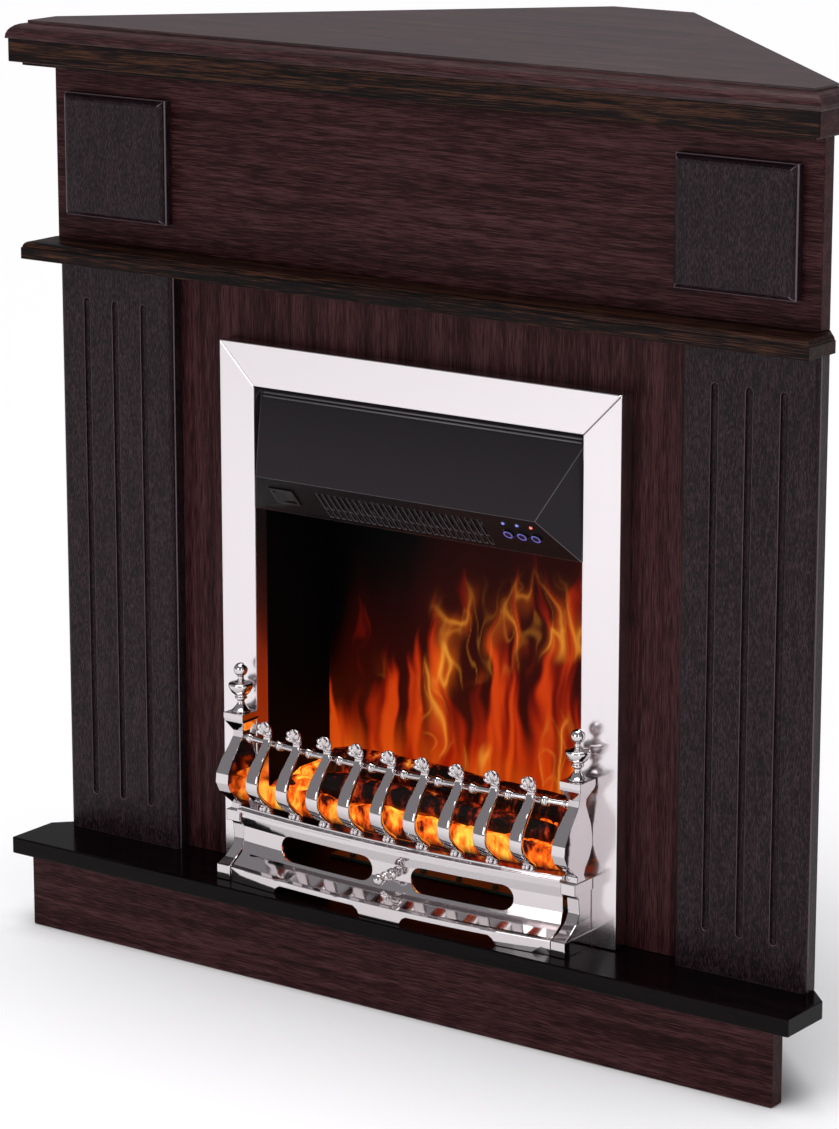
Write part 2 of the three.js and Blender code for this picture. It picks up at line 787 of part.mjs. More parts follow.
// ---------------------------------------------------------------------------
// Heater and tangential blower on their tray
// ---------------------------------------------------------------------------
place(insert, "heater_tray",
  block(-fitHalf, fitHalf, 2, casingDepth - casingWall - jointGap, trayBottom, trayBottom + trayThickness),
  zincSheet);
const trayTop = trayBottom + trayThickness;

function heaterElement() {
  const y1 = heaterFront + heaterDepth;
  const z1 = trayTop + heaterHeight;
  const rim = 4;
  const frame = cut(
    block(-heaterHalfWidth, heaterHalfWidth, heaterFront, y1, trayTop, z1),
    block(-heaterHalfWidth + rim, heaterHalfWidth - rim, heaterFront - 1, y1 + 1, trayTop + rim, z1 - rim),
  );
  const pitch = (2 * heaterHalfWidth) / (heaterFins + 1);
  const fins = [];
  for (let k = 1; k <= heaterFins; k += 1) {
    const x = k * pitch - heaterHalfWidth;
    fins.push(block(x - 1, x + 1, heaterFront + 1, y1 - 1, trayTop + 1, z1 - 1));
  }
  return unite(frame, ...fins);
}
place(insert, "heater_element", heaterElement(), zincSheet);

const scrollInner = impellerRadius + scrollClearance;
const scrollOuter = scrollInner + scrollWall;
const endPlate = 2;

// The scroll is open towards the heater; its end plates carry the shaft.
function blowerHousing() {
  const x0 = impellerLeft - 3;
  const x1 = impellerRight + 3;
  const tube = cut(
    rodX(scrollOuter, x0 - endPlate, x1 + endPlate, blowerY, blowerZ, 32),
    rodX(scrollInner, x0, x1, blowerY, blowerZ, 32),
    block(x0, x1, blowerY - 2 * scrollOuter, blowerY - impellerRadius / 2,
      blowerZ - scrollInner / 2, blowerZ + scrollInner / 2),
    rodX(shaftRadius + runningGap, x0 - 5, x1 + 5, blowerY, blowerZ),
  );
  const foot = cut(
    block(x0 - endPlate, x1 + endPlate, blowerY - 12, blowerY + 12, trayTop + jointGap, blowerZ),
    rodX((scrollInner + scrollOuter) / 2, x0 - 5, x1 + 5, blowerY, blowerZ, 32),
  );
  return unite(tube, foot);
}
place(insert, "blower_housing", blowerHousing(), zincSheet);

function blowerImpeller() {
  const pieces = [
    rodX(shaftRadius, impellerLeft - 4.5, impellerRight + 12, blowerY, blowerZ),
    rodX(impellerRadius, impellerLeft, impellerLeft + 2, blowerY, blowerZ, 28),
    rodX(impellerRadius, impellerRight - 2, impellerRight, blowerY, blowerZ, 28),
  ];
  for (let k = 0; k < impellerBlades; k += 1) {
    const blade = block(impellerLeft + 1, impellerRight - 1, -0.6, 0.6, impellerRadius - 8, impellerRadius - 1);
    blade.rotateX((k / impellerBlades) * 2 * Math.PI).translate(0, blowerY, blowerZ);
    pieces.push(blade);
  }
  return unite(...pieces);
}
place(insert, "blower_impeller", blowerImpeller(), zincSheet);

const motorStart = impellerRight + 3 + endPlate + jointGap;
place(insert, "blower_motor", cut(
  unite(
    rodX(blowerMotorRadius, motorStart, motorStart + blowerMotorLength, blowerY, blowerZ, 24),
    block(motorStart, motorStart + blowerMotorLength, blowerY - 14, blowerY + 14,
      trayTop + jointGap, blowerZ - blowerMotorRadius / 2),
  ),
  rodX(shaftRadius + runningGap, motorStart - 1, impellerRight + 14, blowerY, blowerZ),
), blackSheet);

// ---------------------------------------------------------------------------
// Flame effect: smoked screen, turning foil rotor behind it, lamps below
// ---------------------------------------------------------------------------
const casingFloor = hearthTop + casingWall;
place(insert, "flame_screen", block(-fitHalf, fitHalf, screenY, screenY + screenThickness,
  casingFloor, trayBottom), smokedScreen);

const rotorMotorStart = fitHalf - rotorMotorLength;
const rotorEnd = rotorMotorStart + 6;

function flameRotor() {
  const first = bearingLength - cavityHalf + 8;
  const pitch = (rotorMotorStart - 8 - first) / rotorStations;
  const pieces = [rodX(shaftRadius, 2 - cavityHalf, rotorEnd, rotorY, rotorZ, 16)];
  for (let k = 0; k < rotorStations; k += 1) {
    const x = first + k * pitch;
    const blade = block(x, x + pitch * 0.8, -0.5, 0.5, -rotorRadius, rotorRadius);
    blade.rotateX((k * 5 * Math.PI) / rotorStations).translate(0, rotorY, rotorZ);
    pieces.push(blade);
  }
  return unite(...pieces);
}
place(insert, "flame_rotor", flameRotor(), foil);

place(insert, "rotor_motor", cut(
  rodX(rotorMotorRadius, rotorMotorStart, fitHalf, rotorY, rotorZ, 24),
  rodX(shaftRadius + runningGap, rotorMotorStart - 1, rotorEnd + 1, rotorY, rotorZ, 16),
), zincSheet);

const lampSpacing = (2 * lampStripHalf) / lampCount;
const lamps = [];
for (let k = 0; k < lampCount; k += 1) {
  const x = (k + 0.5) * lampSpacing - lampStripHalf;
  lamps.push(disc(3, x, lampStripY, casingFloor + 1, casingFloor + 7, 12));
}
place(insert, "lamp_strip", unite(
  block(-lampStripHalf, lampStripHalf, lampStripY - 9, lampStripY + 9, casingFloor, casingFloor + 3),
  ...lamps,
), circuitBoard);

// ---------------------------------------------------------------------------
// Ember bed: one moulded tray of coals, hollowed where the logs lie in it
// ---------------------------------------------------------------------------
const logs = [
  {
    name: "log_back",
    y: logBackY,
    length: 2 * (frameInnerHalf - logBackMargin),
    tilt: 0.03,
    turn: 0.04,
    lift: logBackLift,
    radius: logRadius,
  },
  {
    name: "log_front",
    y: logFrontY,
    length: 2 * (frameInnerHalf - logFrontMargin),
    tilt: -0.05,
    turn: 0.02,
    lift: logFrontLift,
    radius: logRadius * logThinning,
  },
];

function bedHeight(x, y) {
  const coarse = Math.sin(x / 13) * Math.cos(y / 9);
  const fine = Math.sin(x / 5.3 + y / 7.1) * 0.5;
  return bedTop + bedLump * (coarse + fine) * 0.6 + (y / bedDepth) * 10;
}

function emberBed() {
  const columns = 28;
  const rows = 7;
  const rings = [];
  for (let i = 0; i <= columns; i += 1) {
    const x = -fitHalf + (2 * fitHalf * i) / columns;
    const ring = [];
    for (let j = 0; j <= rows; j += 1) {
      const y = bedFront + (bedDepth * j) / rows;
      ring.push(new THREE.Vector3(x, y, hearthTop + bedHeight(x, y)));
    }
    ring.push(new THREE.Vector3(x, bedFront + bedDepth, hearthTop + bedBottom));
    ring.push(new THREE.Vector3(x, bedFront, hearthTop + bedBottom));
    rings.push(ring);
  }
  // The end rings aren't convex, so each end is closed around a middle point.
  const size = rings[0].length;
  const positions = rings.flat().flatMap((p) => [p.x, p.y, p.z]);
  const index = [];
  for (let r = 0; r < columns; r += 1) {
    for (let i = 0; i < size; i += 1) {
      const a = r * size + i;
      const b = r * size + ((i + 1) % size);
      index.push(a, b + size, b, a, a + size, b + size);
    }
  }
  [0, columns].forEach((r, end) => {
    const middle = positions.length / 3;
    positions.push(rings[r][0].x, bedFront + bedDepth / 2, hearthTop + bedBottom + 4);
    for (let i = 0; i < size; i += 1) {
      const a = r * size + i;
      const b = r * size + ((i + 1) % size);
      index.push(middle, end ? b : a, end ? a : b);
    }
  });
  const bed = new THREE.BufferGeometry();
  bed.setAttribute("position", new THREE.Float32BufferAttribute(positions, 3));
  bed.setIndex(index);
  bed.computeVertexNormals();
  return bed;
}

// A log is a faceted branch whose radius and line wander a little along its length.
function logGeometry(log, grow) {
  const stations = 12;
  const around = 10;
  const rings = [];
  for (let s = 0; s <= stations; s += 1) {
    const t = s / stations;
    const x = (t - 0.5) * (log.length + 2 * grow);
    const taper = 1 - 0.25 * t + 0.08 * Math.sin(9 * t);
    const end = s === 0 || s === stations ? 0.86 : 1;
    const ring = [];
    for (let k = 0; k < around; k += 1) {
      const angle = (k / around) * 2 * Math.PI;
      const r = log.radius * taper * end * (1 + 0.07 * Math.sin(3 * angle + 5 * t)) + grow;
      ring.push(new THREE.Vector3(x, r * Math.cos(angle), r * Math.sin(angle) + 4 * Math.sin(5 * t)));
    }
    rings.push(ring);
  }
  const branch = loft(rings);
  branch.rotateY(log.tilt).rotateZ(log.turn);
  return branch.translate(0, log.y, hearthTop + bedTop + log.lift + log.radius / 2);
}
place(insert, "ember_bed", cut(emberBed(), ...logs.map((log) => logGeometry(log, jointGap))), emberResin);
for (const log of logs) {
  place(insert, log.name, logGeometry(log, 0), logResin);
}

// ---------------------------------------------------------------------------
// Fret: pedestals, stepped ledge, S-shaped bars and a beaded rail
// ---------------------------------------------------------------------------
const bowAt = (x) => -fretBow * (1 - (x / fretBowHalf) ** 2);

function bowed(geometry) {
  const position = geometry.attributes.position;
  for (let i = 0; i < position.count; i += 1) {
    position.setY(i, position.getY(i) + bowAt(position.getX(i)));
  }
  return geometry;
}

// Pedestal sections from the hearth up: height, width, reach of front and back
// in front of the frame's face.
const pedestalSections = [
  [0, pedestalWidth, 49, jointGap],
  [16, pedestalWidth, 49, jointGap],
  [16, pedestalWidth - 2, 46, jointGap],
  [21, pedestalWidth - 2.5, 37, jointGap],
  [29, pedestalWidth - 3, 26, jointGap],
  [38, pedestalWidth - 3, 21, jointGap],
  [54, pedestalWidth - 3, 23, jointGap],
  [59, pedestalWidth - 3, 28, jointGap],
  [59, pedestalWidth, 32, jointGap],
  [ledgeBottom, pedestalWidth, 32, jointGap],
  [ledgeBottom, pedestalWidth - 3, 26, 9],
  [77, pedestalWidth - 3, 25, 13],
  [84, pedestalWidth - 2.5, 34, 11],
  [94, pedestalWidth - 1.5, 45, 4],
  [104, pedestalWidth - 1, 50, jointGap],
  [114, pedestalWidth - 1, 49, jointGap],
  [127, pedestalWidth - 2, 41, 2],
  [139, pedestalWidth - 4, 30, 6],
  [railHeight, pedestalWidth - 5, 23, 9],
  [154, pedestalWidth - 4, 22, 9],
  [165, pedestalWidth + 7, 29, 3],
  [168, pedestalWidth + 8, 30, 2],
  [capitalTop, pedestalWidth + 8, 30, 2],
];

function pedestal(side) {
  return loft(pedestalSections.map(([z, width, front, back]) => {
    const x = side * pedestalX;
    return [
      new THREE.Vector3(x - width / 2, frameFront - front, fretFloor + z),
      new THREE.Vector3(x + width / 2, frameFront - front, fretFloor + z),
      new THREE.Vector3(x + width / 2, frameFront - back, fretFloor + z),
      new THREE.Vector3(x - width / 2, frameFront - back, fretFloor + z),
    ];
  }));
}

// A turned finial: spreading foot, stem, urn, neck and ball. Its profile up to the neck is
// drawn with the finial one high.
const finialProfile = [
  [0, 0], [0.195, 0], [0.195, 0.035], [0.135, 0.09], [0.078, 0.165], [0.07, 0.235],
  [0.125, 0.29], [0.215, 0.38], [0.25, 0.49], [0.25, 0.56], [0.205, 0.605], [0.1, 0.635], [0.065, 0.68],
];

function finial(side) {
  const ballCentre = finialHeight - finialBall;
  const outline = finialProfile.map(([radius, height]) => point(radius * finialHeight, height * finialHeight));
  const neckAngle = Math.asin(outline[outline.length - 1].x / finialBall);
  for (let k = 0; k <= 6; k += 1) {
    const angle = Math.PI - neckAngle + ((neckAngle - Math.PI) * k) / 6;
    const radius = k === 6 ? 0 : finialBall * Math.sin(angle);
    outline.push(point(radius, ballCentre + finialBall * Math.cos(angle)));
  }
  const turned = new THREE.LatheGeometry(outline, 16).rotateX(Math.PI / 2);
  return turned.translate(side * pedestalX, frameFront - finialSet, fretFloor + capitalTop + jointGap);
}
for (const [label, side] of sides) {
  place(fret, `pedestal_${label}`, pedestal(side), chrome);
  place(fret, `finial_${label}`, finial(side), chrome);
}

const ledgeHalf = pedestalX - pedestalWidth / 2 + 1.5 - jointGap;
function ledgeBar(front, back, z0, z1) {
  const y0 = frameFront - front;
  const y1 = frameFront - back;
  const profile = [point(y0, z0), point(y1, z0), point(y1, z1), point(y0, z1)];
  return bowed(alongX(profile, -ledgeHalf, ledgeHalf, 18));
}
const ledgeBase = fretFloor + ledgeBottom + jointGap;
const ledgeTop = ledgeBase + ledgeHeight;
place(fret, "fret_ledge", unite(
  ledgeBar(ledgeFront, ledgeBack, ledgeBase, ledgeBase + ledgeHeight / 2),
  ledgeBar(ledgeFront - ledgeStep, ledgeBack, ledgeBase, ledgeTop),
), chrome);

// The bar's line, as heights over the ledge and reaches in front of the frame's face.
const barLine = [
  [0, 25, 0.8], [5, 27, 0.9], [14, 40, 1.05], [25, 50.5, 1.1], [36, 52, 1.1],
  [50, 45, 1], [62, 34, 0.85], [72, 26.5, 0.8], [82, 26, 0.85], [91, 29, 1.4], [97, 31, 1.2],
];

function fretBar(x) {
  const curve = new THREE.CatmullRomCurve3(barLine.map(([z, reach]) => (
    new THREE.Vector3(0, frameFront - reach, ledgeTop + jointGap + z))));
  const widths = new THREE.CatmullRomCurve3(barLine.map(([, , share]) => (
    new THREE.Vector3(share * barWidth, 0, 0))));
  const stations = 18;
  const rings = [];
  for (let s = 0; s <= stations; s += 1) {
    const t = s / stations;
    const centre = curve.getPoint(t);
    const along = s === 0 ? new THREE.Vector3(0, 0, 1) : curve.getTangent(t);
    const out = new THREE.Vector3(0, along.z, -along.y).multiplyScalar(barThickness / 2);
    const half = widths.getPoint(t).x / 2;
    rings.push([
      new THREE.Vector3(-half, centre.y - out.y, centre.z - out.z),
      new THREE.Vector3(half, centre.y - out.y, centre.z - out.z),
      new THREE.Vector3(half, centre.y + out.y, centre.z + out.z),
      new THREE.Vector3(-half, centre.y + out.y, centre.z + out.z),
    ]);
  }
  return loft(rings).translate(x, bowAt(x), 0);
}
const barX = [];
for (let k = 0; k < barCount; k += 1) {
  barX.push((k - (barCount - 1) / 2) * barPitch);
}
barX.forEach((x, k) => place(fret, `fret_bar_${k + 1}`, fretBar(x), chrome));

// The rail runs behind the necks of the bars, with a pair of beads beside each.
function fretRail() {
  const half = pedestalX - (pedestalWidth - 4) / 2 - jointGap;
  const stations = [[-half, railRadius]];
  const bead = (x) => {
    for (const offset of [0, 4]) {
      stations.push([x + offset, railRadius]);
      stations.push([x + offset + 1.5, railRadius + railBead]);
      stations.push([x + offset + 3, railRadius]);
    }
  };
  bead(-half + 2);
  for (const x of barX) {
    bead(x + barWidth / 2 + 1);
  }
  stations.push([half, railRadius]);
  const rings = stations.map(([x, radius]) => {
    const ring = [];
    for (let k = 0; k < 10; k += 1) {
      const angle = (k / 10) * 2 * Math.PI;
      ring.push(new THREE.Vector3(
        x,
        frameFront - railSet + bowAt(x) + radius * Math.cos(angle),
        fretFloor + railHeight + radius * Math.sin(angle),
      ));
    }
    return ring;
  });
  return loft(rings);
}
place(fret, "fret_rail", fretRail(), chrome);

// ---------------------------------------------------------------------------
// Ash cover: a bowed, slotted front with a flared skirt, a leaf and a pull knob
// ---------------------------------------------------------------------------
const ashTop = ledgeBottom - runningGap;

// The front surface from top to foot: reach in front of the frame's face, and height.
const ashLine = [
  point(ashWaist + 2, ashTop),
  point(ashWaist + 3, ashTop * 0.915),
  point(ashWaist, ashTop * 0.765),
  point(ashWaist, ashTop * 0.54),
  point(ashWaist + 3, ashTop * 0.38),
  point(ashFoot - 4, ashTop * 0.24),
  point(ashFoot, ashTop * 0.21),
  point(ashFoot, 0),
];

function ashCover() {
  const skin = ashLine.map((p, i) => {
    const before = ashLine[Math.max(i - 1, 0)];
    const after = ashLine[Math.min(i + 1, ashLine.length - 1)];
    const along = after.clone().sub(before).normalize();
    return point(p.x + along.y * ashSheet, p.y - along.x * ashSheet);
  });
  skin[0].y = ashTop;
  skin[skin.length - 1].y = 0;
  const profile = [...ashLine, ...skin.reverse()].map((p) => point(frameFront - p.x, fretFloor + p.y));
  const front = bowed(alongX(profile, -ashHalf, ashHalf, 20));
  const far = frameFront - fretBow - ashFoot - 1;
  const cutters = [];
  for (const side of [-1, 1]) {
    const slot = stadium(slotStart, slotEnd, fretFloor + slotRise, slotHeight).getPoints(6);
    cutters.push(alongY(mirrored(slot, side), far, frameFront));
    const arch = [
      point(archStart, fretFloor - 1),
      point(archEnd, fretFloor - 1),
      point(archEnd - 4, fretFloor + archHeight - 3),
      point(archEnd - 9, fretFloor + archHeight),
      point(archStart + 9, fretFloor + archHeight),
      point(archStart + 4, fretFloor + archHeight - 3),
    ];
    cutters.push(alongY(mirrored(arch, side), far, frameFront));
  }
  return cut(front, ...cutters);
}
place(fret, "ash_cover", ashCover(), chrome);

// The knob screws onto the middle of the cover: a small bead, then the ball. Its profile is
// drawn with the knob one long.
const knobFoot = frameFront - ashWaist - fretBow - jointGap;
const knobProfile = [
  [0, 0], [0.22, 0], [0.22, 0.07], [0.1, 0.13], [0.1, 0.22], [0.185, 0.3], [0.21, 0.39],
  [0.185, 0.47], [0.105, 0.55], [0.17, 0.6], [0.233, 0.72], [0.233, 0.83], [0.17, 0.94], [0, 1],
];
const knob = new THREE.LatheGeometry(
  knobProfile.map(([radius, reach]) => point(radius * knobReach, reach * knobReach)), 18);
place(fret, "ash_knob", knob.rotateX(Math.PI).translate(0, knobFoot, fretFloor + slotRise), chrome);

// ---------------------------------------------------------------------------
// The origin lies on the floor, below the middle of the whole depth
// ---------------------------------------------------------------------------
fireplace.position.y = -(hearthFront + cornerDepth) / 2;

export default fireplace;
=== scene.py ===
"""Corner fireplace: a wenge-veneered corner surround around an electric flame insert.

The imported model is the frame. Boards, casing, hood and chrome channels are shown as they are, with
softened edges. Turned, cast and moulded pieces are built again here in finer form and stand in for
their plain solids. Metres, +Z up, the front faces -Y.
"""

import math
import random

import bpy
from mathutils import Euler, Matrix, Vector, noise


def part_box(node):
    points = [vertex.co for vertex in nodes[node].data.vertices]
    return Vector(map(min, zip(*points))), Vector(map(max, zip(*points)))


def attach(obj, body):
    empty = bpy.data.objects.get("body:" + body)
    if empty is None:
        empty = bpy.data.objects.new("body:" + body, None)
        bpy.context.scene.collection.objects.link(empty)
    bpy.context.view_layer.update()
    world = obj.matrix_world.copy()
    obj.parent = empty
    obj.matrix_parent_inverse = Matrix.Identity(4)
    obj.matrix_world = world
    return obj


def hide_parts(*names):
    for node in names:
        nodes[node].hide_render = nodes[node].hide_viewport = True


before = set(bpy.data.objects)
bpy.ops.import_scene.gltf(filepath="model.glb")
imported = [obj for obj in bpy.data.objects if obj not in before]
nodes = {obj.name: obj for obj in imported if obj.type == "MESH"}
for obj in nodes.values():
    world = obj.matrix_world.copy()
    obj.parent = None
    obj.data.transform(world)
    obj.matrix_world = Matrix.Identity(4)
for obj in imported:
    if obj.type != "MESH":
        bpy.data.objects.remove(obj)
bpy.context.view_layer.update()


# ---------------------------------------------------------------------------
# Boards: chipboard wrapped in dark wenge foil, glued and screwed from behind. The foil's grain runs
# along each board's length, and its edges are softened a little by the wrapping.
# ---------------------------------------------------------------------------
def linear(hex_colour, alpha=1.0):
    """An sRGB hex colour as the linear values that shaders use."""
    shares = [int(hex_colour[k:k + 2], 16) / 255 for k in (1, 3, 5)]
    return [s / 12.92 if s <= 0.04045 else ((s + 0.055) / 1.055) ** 2.4 for s in shares] + [alpha]


def add(tree, kind, inputs=None, **settings):
    """A node with its settings, its values and its links."""
    made = tree.nodes.new(kind)
    for name, value in settings.items():
        setattr(made, name, value)
    for socket, value in (inputs or {}).items():
        if isinstance(value, bpy.types.NodeSocket):
            tree.links.new(value, made.inputs[socket])
        else:
            made.inputs[socket].default_value = value
    return made


def maths(tree, operation, first, second=0.0, third=0.0):
    """The result of one sum in a node tree."""
    made = add(tree, "ShaderNodeMath", {0: first, 1: second, 2: third}, operation=operation)
    return made.outputs[0]


def ramp(tree, factor, stops):
    """A colour ramp through (place, hex colour) stops."""
    made = add(tree, "ShaderNodeValToRGB", {"Fac": factor})
    elements = made.color_ramp.elements
    while len(elements) < len(stops):
        elements.new(0.5)
    for element, (place, colour) in zip(elements, stops):
        element.position = place
        element.color = linear(colour)
    return made.outputs["Color"]


def new_material(name):
    """A material with its node tree and its surface shader."""
    material = bpy.data.materials.new(name)
    material.use_nodes = True
    tree = material.node_tree
    return material, tree, tree.nodes["Principled BSDF"]


def row_place(tree):
    """Where a point is in the row frame, since every mesh's own coordinates are that frame's."""
    return add(tree, "ShaderNodeTexCoord").outputs["Object"]


def plain(name, colour, roughness, metallic=0.0, gloss=0.5):
    """An even finish, as plating and mouldings have."""
    material, _, shader = new_material(name)
    shader.inputs["Base Color"].default_value = linear(colour)
    shader.inputs["Roughness"].default_value = roughness
    shader.inputs["Metallic"].default_value = metallic
    shader.inputs["Specular IOR Level"].default_value = gloss
    return material


def per_metre(size_mm):
    """How often a pattern of this size fits in a metre, which is what a noise texture's scale is."""
    return 1000 / size_mm


def wood(name, turn, tones, roughness, gloss=0.07, fibre=0.87, drawn_out=30, relief=0.00012, banding=0.3):
    """Foil printed with wenge: fibres so many mm wide and sparse light streaks, drawn out with the grain."""
    dark, middle, light = tones
    material, tree, shader = new_material(name)
    along = add(tree, "ShaderNodeMapping",
                {"Vector": row_place(tree), "Rotation": turn, "Scale": (drawn_out, 1, 1)},
                vector_type="TEXTURE").outputs[0]
    fibres = add(tree, "ShaderNodeTexNoise",
                 {"Vector": along, "Scale": per_metre(fibre), "Detail": 4, "Roughness": 0.65}).outputs["Fac"]
    # Wider bands, 9 mm apart, gather the fibres into a figure.
    bands = add(tree, "ShaderNodeTexNoise",
                {"Vector": along, "Scale": per_metre(9.09), "Detail": 4, "Distortion": 0.6}).outputs["Fac"]
    tone = maths(tree, "MULTIPLY_ADD", fibres, 1 - banding, maths(tree, "MULTIPLY", bands, banding))
    colour = ramp(tree, tone, [(0.43, dark), (0.5, middle), (0.585, light)])
    tree.links.new(colour, shader.inputs["Base Color"])
    bump = add(tree, "ShaderNodeBump", {"Height": fibres, "Strength": 0.5, "Distance": relief})
    tree.links.new(bump.outputs[0], shader.inputs["Normal"])
    shader.inputs["Roughness"].default_value = roughness
    shader.inputs["Specular IOR Level"].default_value = gloss
    return material


same_point = 0.00002
sharp_angle = math.radians(32)


def dress(node, material, edge=0.0, edge_highlight=None):
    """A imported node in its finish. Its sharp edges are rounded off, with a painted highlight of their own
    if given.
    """
    obj = nodes[node]
    obj.data.materials.clear()
    obj.data.materials.append(material)
    if edge_highlight:
        obj.data.materials.append(edge_highlight)
    if edge:
        weld = obj.modifiers.new("weld", "WELD")
        weld.merge_threshold = same_point
        bevel = obj.modifiers.new("softened_edges", "BEVEL")
        bevel.width = edge
        bevel.segments = 2
        bevel.limit_method = "ANGLE"
        bevel.angle_limit = sharp_angle
        bevel.material = 1 if edge_highlight else -1


grain_up = (0, math.radians(-90), 0)
grain_across = (0, 0, 0)
grain_to_left_wall = (0, 0, math.radians(45))
grain_to_right_wall = (0, 0, math.radians(-45))

# Wenge foil, printed and satin: brown-black with thin reddish streaks.
wenge = ("#1b0708", "#301417", "#4a2c2e")
satin = 0.42
wenge_upright = wood("wenge_upright", grain_up, wenge, satin)
wenge_across = wood("wenge_across", grain_across, wenge, satin)
wenge_left = wood("wenge_left", grain_to_left_wall, wenge, satin)
wenge_right = wood("wenge_right", grain_to_right_wall, wenge, satin)
# The mantel's foil has a harder, shinier face.
wenge_mantel = wood("wenge_mantel", grain_across, wenge, 0.32, gloss=0.3)
# Foil of the planted plates, embossed: cooler, with a short tight figure that catches the light.
wenge_cool = wood("wenge_cool", grain_up, ("#0b0608", "#1a1015", "#39292f"), 0.3,
                  gloss=0.12, fibre=0.77, drawn_out=6, relief=0.0006, banding=0.12)
# Foil of the moulded edges, with long orange-brown streaks. Its darker tone is partly the foil's own and
# partly painted shade, for the shelf under the cornice.
wenge_edges = wood("wenge_edges", grain_across, ("#070304", "#130909", "#472b1e"), 0.38,
                   gloss=0.08, fibre=1.0, drawn_out=45)
# The plates' rounded edges are painted paler and shinier: a painted highlight where light would catch them.
wenge_painted_highlight = plain("wenge_painted_highlight", "#5c4c53", 0.22)
# Foil of the hearth, lacquered: nearly black, so the fret shows in it.
hearth_foil = wood("hearth_foil", grain_across, ("#030102", "#060304", "#0e0607"), 0.15,
                   gloss=0.08, relief=0.00003)

# Each board with its foil, and the radius that the wrapping leaves on its edges.
boards = [
    ("plinth_front", wenge_across, 0.0012), ("frieze_board", wenge_across, 0.0012),
    ("mantel_slab", wenge_mantel, 0.0012), ("hearth_slab", hearth_foil, 0.0015),
    ("shelf_board", wenge_edges, 0.0008), ("cornice_front", wenge_edges, 0.0008),
    ("plinth_side_left", wenge_left, 0.0008), ("plinth_side_right", wenge_right, 0.0008),
    ("cornice_return_left", wenge_left, 0.001), ("cornice_return_right", wenge_right, 0.001),
    ("front_panel", wenge_upright, 0.0006), ("rear_leg", wenge_upright, 0.0006),
    ("side_panel_left", wenge_upright, 0.0006), ("side_panel_right", wenge_upright, 0.0006),
]
for board, foil, radius in boards:
    dress(board, foil, radius)
sides = ("left", "right")
# The plates' rounded edges take the painted highlight.
for label in sides:
    dress(f"pilaster_{label}", wenge_cool, 0.0008, wenge_painted_highlight)
    dress(f"frieze_block_{label}", wenge_cool, 0.0008, wenge_painted_highlight)


# ---------------------------------------------------------------------------
# Casing: a box folded from sheet steel, in satin black stove paint. It sits in the panel's cut-out,
# behind the frame. The gland at its back is moulded plastic.
# ---------------------------------------------------------------------------
def powder_coat(name, colour, roughness, gloss, painted_shade_below=None):
    """A baked coat with a faint grain. Faces that look down may be painted darker, as painted shade."""
    material, tree, shader = new_material(name)
    shader.inputs["Base Color"].default_value = linear(colour)
    # Painted shade: faces that look down turn to the darker colour.
    if painted_shade_below:
        normal = add(tree, "ShaderNodeNewGeometry").outputs["Normal"]
        upward = add(tree, "ShaderNodeSeparateXYZ", {0: normal}).outputs["Z"]
        share = maths(tree, "MULTIPLY_ADD", upward, 0.5, 0.5)
        tree.links.new(ramp(tree, share, [(0.2, painted_shade_below), (0.4, colour)]), shader.inputs["Base Color"])
    shader.inputs["Roughness"].default_value = roughness
    shader.inputs["Specular IOR Level"].default_value = gloss
    # The grain of such a coat is about two thirds of a millimetre wide and very shallow.
    grain = add(tree, "ShaderNodeTexNoise",
                {"Vector": row_place(tree), "Scale": per_metre(0.6667), "Detail": 2}).outputs["Fac"]
    bump = add(tree, "ShaderNodeBump", {"Height": grain, "Strength": 0.25, "Distance": 0.00005})
    tree.links.new(bump.outputs[0], shader.inputs["Normal"])
    return material


# Stove paint, baked: black and dull, made darker still as painted shade, so the inside reads as depth.
inner_black_shade = powder_coat("inside_black_shade", "#040303", 0.7, 0.08)
# ABS, moulded: black with a soft shine.
black_plastic = plain("black_moulding", "#0c0b0d", 0.28)
dress("casing", inner_black_shade)
dress("cable_gland", black_plastic, 0.0004)

# ---------------------------------------------------------------------------
# Frame: three channels folded from thin steel, mitred at the top corners and chrome plated. They lie
# on the front panel and cover the edge of its cut-out.
# ---------------------------------------------------------------------------
# Chrome plate over buffed sheet: bright, with softer reflections than a casting's.
chrome_sheet = plain("chrome_sheet", "#e2dcde", 0.2, 1.0)
for channel in ("frame_left", "frame_right", "frame_top"):
    dress(channel, chrome_sheet, 0.0012)
frame_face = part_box("frame_top")[0].y


# ---------------------------------------------------------------------------
# Hood: a thin wedge folded from sheet steel, in black powder coat. It closes the top of the casing's
# mouth, and its louvres let the warm air out. The power switch clips into it.
# ---------------------------------------------------------------------------
def mesh_of(name, parts, rounded=True):
    """One mesh from several (vertices, faces) parts, shaded as rounded or as flat faces."""
    vertices, faces = [], []
    for part_vertices, part_faces in parts:
        start = len(vertices)
        vertices += [tuple(v) for v in part_vertices]
        faces += [tuple(start + i for i in face) for face in part_faces]
    mesh = bpy.data.meshes.new(name)
    mesh.from_pydata(vertices, [], faces)
    mesh.update()
    if rounded:
        mesh.shade_smooth()
    return mesh


def skin(rings, capped=True, looped=True):
    """Faces between rings of equal point counts, as (vertices, faces)."""
    size = len(rings[0])
    vertices = [p for ring in rings for p in ring]
    faces = []
    for r in range(len(rings) - 1):
        for i in range(size if looped else size - 1):
            a = r * size + i
            b = r * size + (i + 1) % size
            faces.append((a, b, b + size, a + size))
    if capped:
        faces.append(tuple(reversed(range(size))))
        faces.append(tuple(range(len(vertices) - size, len(vertices))))
    return vertices, faces


def circle(around):
    """Angles evenly spaced around a full turn."""
    return [2 * math.pi * k / around for k in range(around)]


def rod(start, end, radius, around=12):
    """A plain round rod between two vectors."""
    across = (end - start).to_track_quat("Z", "Y")
    spokes = [across @ Vector((radius * math.cos(a), radius * math.sin(a), 0)) for a in circle(around)]
    return skin([[centre + spoke for spoke in spokes] for centre in (start, end)])


